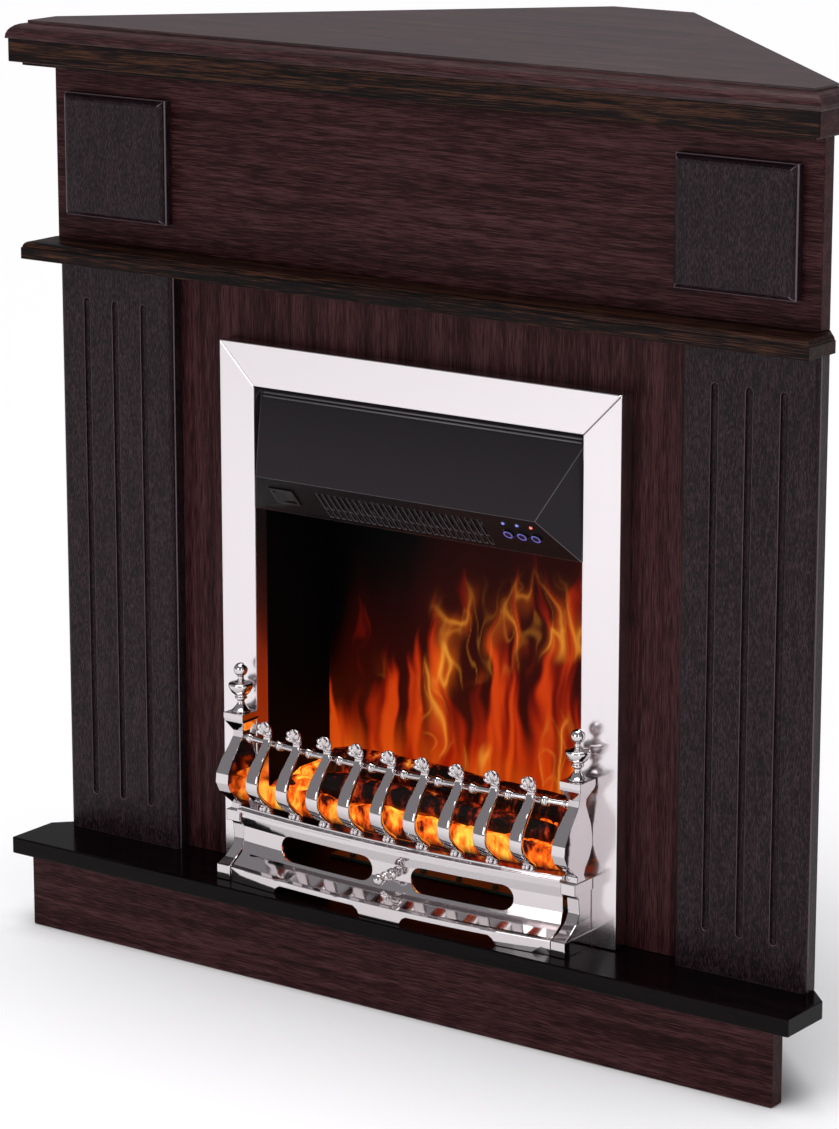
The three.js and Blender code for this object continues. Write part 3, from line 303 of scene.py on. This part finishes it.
def turned(profile, around, place, turn=None):
    """A solid of revolution through (radius, height) points, closed at both ends."""
    rings = []
    for radius, height in profile:
        ring = [Vector((radius * math.cos(a), radius * math.sin(a), height)) for a in circle(around)]
        rings.append([Vector(place) + (turn @ point if turn else point) for point in ring])
    return skin(rings)


# A solid of revolution ends in a ring this small, so its cap has no zero-sized faces.
pole = 0.0001


def ball(centre, radii, turn=None, around=16, levels=9):
    """An ellipsoid, closed at its poles."""
    heights = [math.pi * k / levels for k in range(levels + 1)]
    profile = [(max(math.sin(a), pole), -math.cos(a)) for a in heights]
    vertices, faces = turned(profile, around, (0, 0, 0))
    scaled = [Vector((v.x * radii[0], v.y * radii[1], v.z * radii[2])) for v in vertices]
    return [Vector(centre) + (turn @ v if turn else v) for v in scaled], faces


def piece(name, parts, material, body="root", stands_for=(), rounded=True):
    """A new piece that rides on a body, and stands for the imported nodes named."""
    obj = bpy.data.objects.new(name, mesh_of(name, parts, rounded))
    bpy.context.scene.collection.objects.link(obj)
    obj.data.materials.append(material)
    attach(obj, body)
    if stands_for:
        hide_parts(*stands_for)
    return obj


# Powder coat, satin: grey-black in the light, with painted shade darkening it where it faces down.
hood_coat = powder_coat("hood_coat", "#2b272b", 0.42, 0.1, painted_shade_below="#0a080a")
# The same coat with a painted highlight along its edges: grey, with a soft sheen.
black_coat_highlight = plain("black_coat_highlight", "#5a565a", 0.35)
# The hood's edges take the painted highlight.
dress("hood_cover", hood_coat, 0.0007, black_coat_highlight)

# Two thin beads are rolled along the hood's top edge, in the same painted highlight.
hood_low, hood_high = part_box("hood_cover")
bead_radius = 0.0011
bead_inset = 0.006
bead_y = hood_low.y + 0.049 - bead_radius
beads = []
for drop in (0.0062, 0.0098):
    left = Vector((hood_low.x + bead_inset, bead_y - drop / 3, hood_high.z - drop))
    right = Vector((hood_high.x - bead_inset, left.y, left.z))
    beads.append(rod(left, right, bead_radius))
piece("hood_lip", beads, black_coat_highlight)

dress("switch_body", black_plastic, 0.0003)
dress("power_rocker", black_plastic, 0.0003)

# The hood's underside rises from its heel, at the frame's face, to its nose. These are the directions
# up along it and straight out of it.
hood_nose = min((vertex.co for vertex in nodes["hood_cover"].data.vertices), key=lambda place: place.y)
under_heel = Vector((0, frame_face, hood_low.z))
under_up = (Vector((0, hood_nose.y, hood_nose.z)) - under_heel).normalized()
under_out = Vector((0, -under_up.z, under_up.y))
under_turn = under_out.to_track_quat("Z", "Y")


# ---------------------------------------------------------------------------
# Push buttons: black moulded caps in holes of the hood's underside, before the control board. Each
# has a printed ring that is lit from behind, and a lamp above it.
# ---------------------------------------------------------------------------
def glowing(name, colour, strength, base):
    """A smooth coloured moulding that is lit from behind."""
    material, _, shader = new_material(name)
    shader.inputs["Base Color"].default_value = linear(base)
    shader.inputs["Roughness"].default_value = 0.3
    shader.inputs["Emission Color"].default_value = linear(colour)
    shader.inputs["Emission Strength"].default_value = strength
    return material


# ABS, moulded and polished: black and smooth.
button_cap = plain("button_cap", "#121117", 0.25)
# Violet print that the board's lamps shine through.
ring_violet = glowing("ring_violet", "#6f6cd8", 0.55, "#3b3a86")
# Clear resin lenses, tinted: two glow blue and the third red.
lamp_blue = glowing("lamp_blue", "#7f86e0", 0.8, "#5a5fb4")
lamp_red = glowing("lamp_red", "#ff7a66", 1.0, "#c8594c")
# Glass-fibre board under green lacquer.
dress("control_board", plain("board_green", "#1f5a35", 0.5))

ring_radius = 0.0044
ring_section = [(-0.0007, 0.0), (0.0, 0.0004), (0.0007, 0.0)]
lens_profile = [(pole, -0.0001), (0.0018, 0.0), (0.0017, 0.0005), (0.0011, 0.0012), (pole, 0.0016)]
lens_row = 0.046
for k in (1, 2, 3):
    name = f"button_{k}"
    dress(name, button_cap, 0.0004)
    low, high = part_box(name)
    middle = (low + high) / 2
    # The cap's face lies furthest out of the underside.
    reach = max(Vector(vertex.co).dot(under_out) for vertex in nodes[name].data.vertices)
    face = middle + under_out * (reach - middle.dot(under_out))
    ring = []
    for angle in circle(48):
        outward = under_turn @ Vector((math.cos(angle), math.sin(angle), 0))
        ring.append([face + outward * (ring_radius + side) + under_out * rise for side, rise in ring_section])
    ring.append(ring[0])
    piece(f"button_ring_{k}", [skin(ring, capped=False, looped=False)], ring_violet, name)
    lens_place = Vector((middle.x, under_heel.y, under_heel.z)) + under_up * lens_row + under_out * 0.0002
    piece(f"lamp_lens_{k}", [turned(lens_profile, 20, lens_place, under_turn)],
          lamp_red if k == 3 else lamp_blue)

# ---------------------------------------------------------------------------
# Heater, blower and flame rotor: sheet and foil on small motors, screwed inside the casing. They are
# hidden above and behind the flames.
# ---------------------------------------------------------------------------
# Zinc-coated sheet: grey, with a dull metal sheen.
galvanised = plain("galvanised_sheet", "#8d9092", 0.42, 0.9)
for inner in ("heater_element", "blower_housing", "blower_impeller", "rotor_motor"):
    dress(inner, galvanised)
dress("heater_tray", inner_black_shade)
dress("blower_motor", powder_coat("black_powder_coat", "#2b272b", 0.42, 0.1))
# Glass-fibre board under dark lacquer.
dress("lamp_strip", plain("lamp_board", "#2a3b30", 0.5))
# Metallised foil: bright and slightly golden.
dress("flame_rotor", plain("bright_foil", "#d8c9a0", 0.2, 1.0))


# ---------------------------------------------------------------------------
# Flame screen: a smoked sheet that stands across the casing, behind the fuel bed. The turning foil
# throws the lamps' light on it from behind, which shows as flames.
# ---------------------------------------------------------------------------
def ease(low, high, value):
    """From 0 at low to 1 at high, with soft ends."""
    share = min(max((value - low) / (high - low), 0.0), 1.0)
    return share * share * (3 - 2 * share)


def glow_height(x):
    """How high the fire's body stands on the screen: low at the left, highest right of the middle."""
    return 0.075 + 0.05 * ease(-0.205, -0.16, x) + 0.055 * ease(-0.11, -0.06, x) + 0.03 * ease(0, 0.06, x)


def swirl(x, up, across, along, seed):
    """Smooth noise, with so many swells to the metre across the screen and up it."""
    return noise.noise(Vector((x * across, up * along, seed)))


def fire_colour(x, up):
    """The light on the screen: red bodies, hotter hearts in them and bright threads where they meet."""
    # The picture is stirred, more so higher up.
    stir = 0.4 + 4 * max(up, 0)
    bent_x = x + stir * (0.017 * swirl(x, up, 24, 15, 1.3) + 0.007 * swirl(x, up, 60, 36, 5.1))
    bent_up = up + stir * (0.018 * swirl(x, up, 22, 13, 8.4) + 0.007 * swirl(x, up, 62, 36, 2.6))
    level = bent_up / glow_height(x)
    # Bodies are tall narrow swells that fade out at their tips.
    swell = swirl(bent_x, bent_up, 62, 8, 3.7) + 0.5 * swirl(bent_x, bent_up, 130, 18, 9.2)
    body = ease(1.0, 0.25, level - 0.8 * swell)
    heart = ease(0.8, 0.15, level - 0.7 * swell) * ease(-0.3, 0.45, swell)
    # Threads are thin lines with a veil around them, in some places only.
    line = swirl(bent_x, bent_up, 42, 18, 6.6)
    fine = swirl(bent_x, bent_up, 84, 36, 4.4)
    patch = ease(0.02, 0.42, swirl(x, up, 17, 14, 11.5) + 0.18 + 0.6 * x)
    within = patch * ease(1.25, 0.7, level) * ease(-0.05, 0.2, level)
    thread = (math.exp(-(line / 0.055) ** 2) + 0.35 * math.exp(-(fine / 0.1) ** 2)) * within
    veil = math.exp(-(line / 0.22) ** 2) * within
    # Haze hangs over it all, and the foot is brightest, close to the lamps.
    haze = ease(2.0, 0.6, level)
    foot = math.exp(-max(up, 0) / 0.02) * max(0.5 + 0.8 * swirl(x, up, 45, 30, 3.3), 0)
    # Each of these adds light of its own linear colour.
    glows = [(haze, (0.03, 0.0014, 0.0005)), (body, (0.36, 0.009, 0.0007)), (heart, (0.5, 0.038, 0.0015)),
             (thread, (0.62, 0.2, 0.018)), (veil, (0.34, 0.05, 0.003)), (foot, (0.9, 0.15, 0.008))]
    return [1 - math.exp(-sum(amount * colour[k] for amount, colour in glows)) for k in range(3)]


def fine_sheet(low, high, foot, pitch):
    """A closed sheet with a fine grid on its front, from the foot up."""
    columns = round((high.x - low.x) / pitch)
    rows = round((high.z - foot) / pitch)
    xs = [low.x + (high.x - low.x) * i / columns for i in range(columns + 1)]
    heights = [low.z] + [foot + (high.z - foot) * j / rows for j in range(rows + 1)]
    vertices, faces = skin([[Vector((x, low.y, z)) for x in xs] for z in heights], capped=False, looped=False)
    # The grid's corners are joined to a plain back by one face each for back, foot, top and sides.
    back = len(vertices)
    vertices += [Vector((x, high.y, z)) for z in (low.z, high.z) for x in (low.x, high.x)]
    foot_row = list(range(columns + 1))
    top_row = [place + (columns + 1) * (rows + 1) for place in foot_row]
    left_edge = [(columns + 1) * j for j in range(rows + 2)]
    right_edge = [place + columns for place in left_edge]
    faces += [(back, back + 2, back + 3, back + 1),
              (*foot_row[::-1], back, back + 1), (*top_row, back + 3, back + 2),
              (*left_edge, back + 2, back), (*right_edge[::-1], back + 1, back + 3)]
    return vertices, faces


# Smoked acrylic, matt on its face: nearly black, with the flames' light showing through it.
fire_layer = "fire"
screen_flames, tree, shader = new_material("screen_flames")
flames = add(tree, "ShaderNodeAttribute", attribute_name=fire_layer)
tree.links.new(flames.outputs["Color"], shader.inputs["Emission Color"])
shader.inputs["Emission Strength"].default_value = 1.0
shader.inputs["Base Color"].default_value = linear("#040202")
shader.inputs["Roughness"].default_value = 0.5
shader.inputs["Specular IOR Level"].default_value = 0.05

screen_low, screen_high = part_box("flame_screen")
# The fuel bed hides the screen below this height. The grid is as fine as the flames' thin threads.
hidden_below = 0.17
grid_pitch = 0.0015
fire_foot = 0.185
lit_screen = piece("lit_screen", [fine_sheet(screen_low, screen_high, hidden_below, grid_pitch)],
                   screen_flames, stands_for=("flame_screen",), rounded=False)
fire = lit_screen.data.color_attributes.new(fire_layer, "FLOAT_COLOR", "POINT")
for vertex, spot in zip(lit_screen.data.vertices, fire.data):
    spot.color = (*fire_colour(vertex.co.x, vertex.co.z - fire_foot), 1.0)


# ---------------------------------------------------------------------------
# Fuel bed: moulded translucent coals lit from below, with two moulded logs laid in them. Loose lumps of
# the same resin lie along its front and between the logs.
# ---------------------------------------------------------------------------
glow_from = 0.155
glow_rise = 0.01


def ember_glow(name, dark, hot, patch, threshold, strength):
    """Dark resin that glows in its cracks and hollows, in patches so many mm wide."""
    material, tree, shader = new_material(name)
    place = add(tree, "ShaderNodeMapping", {"Vector": row_place(tree), "Scale": (1, 1, 0.45)}).outputs[0]
    heat = add(tree, "ShaderNodeTexNoise",
               {"Vector": place, "Scale": per_metre(patch), "Detail": 4, "Distortion": 0.8}).outputs["Fac"]
    fine = add(tree, "ShaderNodeTexNoise",
               {"Vector": place, "Scale": per_metre(patch / 6), "Detail": 3}).outputs["Fac"]
    mixed = maths(tree, "MULTIPLY_ADD", heat, 0.75, maths(tree, "MULTIPLY", fine, 0.25))
    stops = [(0, "#000000"), (0.05, "#3c0802"), (0.13, hot), (0.26, "#ffb23c")]
    glow = ramp(tree, mixed, [(threshold + step, colour) for step, colour in stops])
    tree.links.new(glow, shader.inputs["Emission Color"])
    # The underside of the bed stays dark.
    height = add(tree, "ShaderNodeSeparateXYZ", {0: row_place(tree)}).outputs["Z"]
    above = maths(tree, "MULTIPLY_ADD", height, 1 / glow_rise, -glow_from / glow_rise)
    above = maths(tree, "MINIMUM", maths(tree, "MAXIMUM", above, 0.0), 1.0)
    tree.links.new(maths(tree, "MULTIPLY", above, strength), shader.inputs["Emission Strength"])
    shader.inputs["Base Color"].default_value = linear(dark)
    shader.inputs["Specular IOR Level"].default_value = 0.15
    shader.inputs["Roughness"].default_value = 0.6
    bump = add(tree, "ShaderNodeBump", {"Height": fine, "Strength": 0.5, "Distance": 0.001})
    tree.links.new(bump.outputs[0], shader.inputs["Normal"])
    return material


# Coals: amber resin, cast, bright where the lamps stand close below.
coal_resin = ember_glow("coal_resin", "#2a0d05", "#d9500a", 26.3, 0.36, 1.8)
# Logs: brown resin, cast, with painted bark, glowing through in thin cracks.
log_resin = ember_glow("log_resin", "#160a07", "#a82c06", 22.2, 0.48, 1.0)
dress("ember_bed", coal_resin)

log_taper = 0.16
bark_depth = 0.14
ridge_depth = 0.06


def rough_log(node, seed, around=40, stations=90):
    """A branch of the plain log's size, with ridged bark and broken ends."""
    low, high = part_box(node)
    middle = (low + high) / 2
    half = (high.x - low.x) / 2
    radius = (high.z - low.z) / 2 * 0.86
    rings = []
    for s in range(stations + 1):
        share = s / stations
        x = middle.x + (2 * share - 1) * half * 0.99
        fade = min(1.0, 0.82 + 3 * min(share, 1 - share))
        rise = 0.002 * math.sin(5 * share)
        ring = []
        for angle in circle(around):
            out, up = math.cos(angle), math.sin(angle)
            bark = noise.noise(Vector((x * 18, out * 2.2 + seed, up * 2.2)))
            ridge = noise.noise(Vector((x * 70, out * 7, up * 7 + seed)))
            r = radius * fade * (1 - log_taper * share + bark_depth * bark + ridge_depth * ridge)
            ring.append(Vector((x, middle.y + r * out, middle.z + rise + r * up)))
        rings.append(ring)
    return skin(rings)


for k, log in enumerate(("log_back", "log_front")):
    piece(f"bark_{log}", [rough_log(log, 3.7 * k)], log_resin, stands_for=(log,))


def coal(centre, radius, seed):
    """A rough lump."""
    vertices, faces = ball((0, 0, 0), (radius, radius * 0.8, radius * 0.8), around=14, levels=8)
    rough = [v * (1 + 0.3 * noise.noise(v * (0.9 / radius) + Vector((seed, 0, 0)))) for v in vertices]
    return [Vector(centre) + v for v in rough], faces


# The lumps lie in rows. Each row has its place behind the bed's front, its height and its lumps' radius.
pick = random.Random(5)
bed_low, bed_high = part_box("ember_bed")
lump_rows = ((0.007, 0.163, 0.0095), (0.020, 0.181, 0.0085), (0.052, 0.186, 0.0095))
lumps_in_row = 21
first_x = bed_low.x + 0.016
row_length = bed_high.x - bed_low.x - 0.032
coals = []
for row_y, row_z, radius in lump_rows:
    for k in range(lumps_in_row):
        x = first_x + row_length * k / (lumps_in_row - 1)
        centre = (x + pick.uniform(-0.004, 0.004), bed_low.y + row_y + pick.uniform(-0.002, 0.002),
                  row_z + pick.uniform(-0.003, 0.003))
        coals.append(coal(centre, radius * pick.uniform(0.8, 1.15), pick.uniform(0, 50)))
piece("coals", coals, coal_resin)

# ---------------------------------------------------------------------------
# Fret: a chrome-plated casting that stands loose on the hearth. Two pedestals carry a stepped ledge, nine
# S-shaped bars with leaf feet and palmette heads, and a beaded rail. It lifts away in one piece.
# ---------------------------------------------------------------------------
# Chrome plate on a polished casting: mirror bright.
chrome_plate = plain("chrome_plate", "#d2cccd", 0.07, 1.0)
bow_depth = 0.013
bow_half = 0.2


def bow(x):
    """How far the fret's line lies forward of its ends."""
    return -bow_depth * (1 - (x / bow_half) ** 2)


def spline(ends, t):
    """A smooth curve between the middle two of four points."""
    a, b, c, d = ends
    slope = (c - a) * t
    bend = (2 * a - 5 * b + 4 * c - d) * t ** 2
    turn = (3 * b - a - 3 * c + d) * t ** 3
    return 0.5 * (2 * b + slope + bend + turn)


def strap(line, thickness, stations, around=20):
    """A band through (place, height, width) points, with a soft-cornered section."""
    points = [Vector((0, y, z)) for y, z, _ in line]
    # Powers below 1 square a circle up.
    squared = 0.4
    rings = []
    for s in range(stations + 1):
        along = s / stations * (len(line) - 1)
        k = min(int(along), len(line) - 2)
        share = along - k
        ends = [points[max(k - 1, 0)], points[k], points[k + 1], points[min(k + 2, len(line) - 1)]]
        centre = spline(ends, share)
        ahead = (spline(ends, min(share + 0.02, 1)) - spline(ends, max(share - 0.02, 0))).normalized()
        out = Vector((0, -ahead.z, ahead.y))
        width = line[k][2] + (line[k + 1][2] - line[k][2]) * ease(0, 1, share)
        ring = []
        for angle in circle(around):
            cos, sin = math.cos(angle), math.sin(angle)
            side = math.copysign(abs(cos) ** squared, cos) * width / 2
            depth = math.copysign(abs(sin) ** squared, sin) * thickness / 2
            ring.append(centre + Vector((side, 0, 0)) + out * depth)
        rings.append(ring)
    return skin(rings)


def moved(part, x, y):
    """A part moved sideways and forward."""
    vertices, faces = part
    return [Vector((v.x + x, v.y + y, v.z)) for v in vertices], faces


def palmette(neck_y, neck_z):
    """A shell of five petals that fan out from the bar's neck and lean forward, on a thin plate."""
    half_plate = Vector((0, 0.0014, 0))
    steps = [k / 5 for k in range(6)]
    fan = []
    for k in range(25):
        angle = math.radians(-78 + 156 * k / 24)
        reach = 0.0082 + 0.0052 * math.cos(angle) ** 2
        spine = [Vector((math.sin(angle) * reach * share, neck_y - 0.004 * share ** 2,
                         neck_z + math.cos(angle) * reach * share)) for share in steps]
        fan.append([spot - half_plate for spot in spine] + [spot + half_plate for spot in spine[::-1]])
    parts = [skin(fan), ball((0, neck_y, neck_z - 0.001), (0.0058, 0.0036, 0.0036))]
    for lean, length in ((-68, 0.0060), (-35, 0.0074), (0, 0.0082), (35, 0.0074), (68, 0.0060)):
        turn = Euler((math.radians(20), math.radians(lean), 0)).to_matrix()
        petal_middle = Vector((0, neck_y - 0.0022, neck_z)) + turn @ Vector((0, 0, length))
        parts.append(ball(petal_middle, (0.0030, 0.0026, length * 0.8), turn, 14, 9))
    return parts


def leaf_foot(y, z):
    """Three short lobes spread over the front of the bar's foot."""
    parts = []
    for side in (-1, 0, 1):
        turn = Euler((math.radians(-25), 0, math.radians(-19.2 * side))).to_matrix()
        half_height = 0.0034 if side else 0.0042
        middle = (0.0048 * side, y + 0.00072 * abs(side), z + half_height - 0.0006 * abs(side))
        parts.append(ball(middle, (0.0023, 0.0021, half_height), turn, 12, 8))
    return parts


# A bar's line: reach in front of the frame's face, height over the ledge, width.
ledge_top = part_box("fret_bar_5")[0].z
bar_line = [
    (0.0250, 0.0000, 0.0105), (0.0275, 0.0050, 0.0118), (0.0400, 0.0140, 0.0142), (0.0500, 0.0250, 0.0150),
    (0.0515, 0.0360, 0.0150), (0.0450, 0.0500, 0.0136), (0.0345, 0.0620, 0.0114), (0.0270, 0.0720, 0.0094),
    (0.0250, 0.0780, 0.0086), (0.0255, 0.0840, 0.0096),
]
bar_thickness = 0.0052
bar_shape = [strap([(frame_face - reach, ledge_top + up, width) for reach, up, width in bar_line],
                   bar_thickness, 60)]
bar_shape += palmette(frame_face - 0.0260, ledge_top + 0.0828)
bar_shape += leaf_foot(frame_face - 0.0315, ledge_top + 0.0002)
bar_places = []
for k in range(1, 10):
    name = f"fret_bar_{k}"
    low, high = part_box(name)
    x = (low.x + high.x) / 2
    bar_places.append(x)
    piece(f"bar_{k}", [moved(part, x, bow(x)) for part in bar_shape], chrome_plate, "fret", (name,))

# Rail: a rod behind the necks. Each neck has a ring on its left and a ball with a ring on its right.
# Each of these has its offset from the neck, its radius and its half length.
rail_low, rail_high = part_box("fret_rail")
rail_z = (rail_low.z + rail_high.z) / 2
rail_y = frame_face - 0.0178
rail_radius = 0.0036
turnings = ((0.0105, 0.0058, 0.0030), (0.0142, 0.0052, 0.0012), (-0.0085, 0.0052, 0.0013))
pedestal_gap = 0.004
neck_places = [rail_low.x - pedestal_gap, *bar_places, rail_high.x + pedestal_gap]


def rail_radius_at(x):
    """The rail's radius, with the turnings beside each neck."""
    radius = rail_radius
    for neck in neck_places:
        for offset, size, half in turnings:
            away = abs(x - neck - offset) / half
            if away < 1:
                radius = max(radius, rail_radius + (size - rail_radius) * math.sqrt(1 - away ** 2))
    return radius


rail_stations = 900
rail_rings = []
for s in range(rail_stations + 1):
    x = rail_low.x + (rail_high.x - rail_low.x) * s / rail_stations
    radius = rail_radius_at(x) if 0 < s < rail_stations else rail_radius
    rail_rings.append([Vector((x, rail_y + bow(x) + radius * math.cos(a), rail_z + radius * math.sin(a)))
                       for a in circle(16)])
piece("rail", [skin(rail_rings)], chrome_plate, "fret", ("fret_rail",))

# Pedestals and ledge keep their own shapes.
for label in sides:
    dress(f"pedestal_{label}", chrome_plate, 0.0008)
dress("fret_ledge", chrome_plate, 0.0006)

# Finials: turned brass, chrome plated, screwed onto the pedestals. Foot, stem and bead, then the urn and
# its neck, as (radius, height). The ball on top is an arc.
neck_radius = 0.0032
finial_profile = [
    (pole, 0), (0.0096, 0), (0.0100, 0.0008), (0.0096, 0.0017), (0.0082, 0.0026), (0.0068, 0.0046),
    (0.0045, 0.0074), (0.0036, 0.0102), (0.0040, 0.0126), (0.0062, 0.0135), (0.0066, 0.0147),
    (0.0062, 0.0158), (0.0052, 0.0164), (0.0072, 0.0179), (0.0100, 0.0206), (0.0120, 0.0244),
    (0.0126, 0.0262), (0.0129, 0.0275), (0.0129, 0.0288), (0.0122, 0.0299), (0.0104, 0.0307),
    (0.0070, 0.0316), (0.0044, 0.0326), (0.0034, 0.0340), (neck_radius, 0.0355),
]
ball_radius = 0.0073
ball_start = math.pi - math.asin(neck_radius / ball_radius)
for label in sides:
    low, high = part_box(f"finial_{label}")
    foot = Vector(((low.x + high.x) / 2, (low.y + high.y) / 2, low.z))
    ball_height = high.z - low.z - ball_radius
    angles = [ball_start * (1 - k / 14) for k in range(15)]
    arc = [(max(ball_radius * math.sin(a), pole), ball_height + ball_radius * math.cos(a)) for a in angles]
    piece(f"turned_finial_{label}", [turned(finial_profile + arc, 40, foot)], chrome_plate,
          "fret", (f"finial_{label}",))

# ---------------------------------------------------------------------------
# Ash cover: pressed and chrome-plated sheet with two slots, hooked into the fret and drawn out by its
# turned knob. A small cast leaf is riveted under the knob.
# ---------------------------------------------------------------------------
dress("ash_cover", chrome_plate, 0.0005)

# The knob's collar, waist and two swells, as shares of its length.
knob_low, knob_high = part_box("ash_knob")
knob_place = Vector(((knob_low.x + knob_high.x) / 2, knob_high.y, (knob_low.z + knob_high.z) / 2))
knob_length = knob_high.y - knob_low.y
waist = 0.095
knob_line = [(0.004, 0), (0.22, 0.0), (0.225, 0.04), (0.19, 0.08), (0.11, 0.12), (0.10, 0.2)]
for centre, size, first in ((0.39, 0.21, 2), (0.79, 0.233, 1)):
    for k in range(first, 13 - first):
        angle = math.pi * k / 12
        knob_line.append((max(size * math.sin(angle), waist), centre - size * 0.86 * math.cos(angle)))
knob_line += [(0.06, 0.992), (0.004, 1.0)]
forward = Vector((0, -1, 0)).to_track_quat("Z", "Y")
knob_profile = [(r * knob_length, h * knob_length) for r, h in knob_line]
piece("turned_knob", [turned(knob_profile, 36, knob_place, forward)], chrome_plate,
      "ash_cover", ("ash_knob",))

# Each petal of the leaf has its lean, its length and its half width.
leaf_place = Vector((0, frame_face - 0.0345 + bow(0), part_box("hearth_slab")[1].z + 0.0225))
petals = ((-75, 0.0055, 0.0017), (-38, 0.0068, 0.002), (0, 0.0080, 0.0022), (38, 0.0068, 0.002),
          (75, 0.0055, 0.0017))
leaf = []
for lean, length, half_width in petals:
    turn = Euler((math.radians(38), math.radians(lean), 0)).to_matrix()
    petal_middle = leaf_place + turn @ Vector((0, 0, length * 0.55))
    leaf.append(ball(petal_middle, (half_width, 0.0016, length * 0.55), turn, 14, 9))
leaf.append(ball(leaf_place + Vector((0, -0.0012, 0)), (0.0028, 0.0022, 0.0024)))
piece("leaf_ornament", leaf, chrome_plate, "ash_cover")


# ---------------------------------------------------------------------------
# Stage: a plain pale floor, soft studio light, and the camera at the photograph's angle.
# ---------------------------------------------------------------------------
scene = bpy.context.scene
scene.view_settings.view_transform = "Standard"

far = 40
under_feet = -0.0005
floor_corners = [(x, y, under_feet) for x, y in ((-far, -far), (far, -far), (far, far), (-far, far))]
floor = bpy.data.objects.new("floor", mesh_of("floor", [(floor_corners, [(0, 1, 2, 3)])]))
# Painted floor: white and matt.
floor.data.materials.append(plain("floor_white", "#f4f3f4", 0.9))
scene.collection.objects.link(floor)

world = bpy.data.worlds.new("studio")
scene.world = world
world.use_nodes = True
world.node_tree.nodes["Background"].inputs["Color"].default_value = (0.84, 0.83, 0.87, 1)
world.node_tree.nodes["Background"].inputs["Strength"].default_value = 0.32


def light(name, kind, place, aim, power, size=None):
    """A lamp that points at a place, with a width and height if it is an area."""
    lamp = bpy.data.lights.new(name, kind)
    lamp.energy = power
    if size:
        lamp.shape = "RECTANGLE"
        lamp.size, lamp.size_y = size
    obj = bpy.data.objects.new(name, lamp)
    obj.location = place
    obj.rotation_euler = (Vector(aim) - Vector(place)).to_track_quat("-Z", "Y").to_euler()
    scene.collection.objects.link(obj)
    return lamp


centre = (0, 0, 0.5)
# A wide overhead light keeps the floor bright all the way back.
overhead = light("overhead", "SUN", (0, 0, 4), (0.1, 0.1, 0), 2.7)
overhead.angle = math.radians(50)
# A large soft light from the front left, and a narrow one from the right for the rounded edges.
light("front", "AREA", (-0.6, -3.6, 1.3), centre, 22, (1.4, 1.4))
light("side", "AREA", (2.0, -2.0, 1.0), centre, 7, (0.25, 1.6))

# The camera stands where the surround's corners fall as they do in the photograph.
looks_down = math.radians(13.93)
turned_left = math.radians(35.83)
camera = bpy.data.objects.new("camera", bpy.data.cameras.new("camera"))
camera.location = (2.3386, -3.4103, 1.4424)
camera.rotation_euler = Euler((math.radians(90) - looks_down, 0, turned_left))
camera.data.lens = 131.2
camera.data.sensor_width = 36
scene.collection.objects.link(camera)
scene.camera = camera
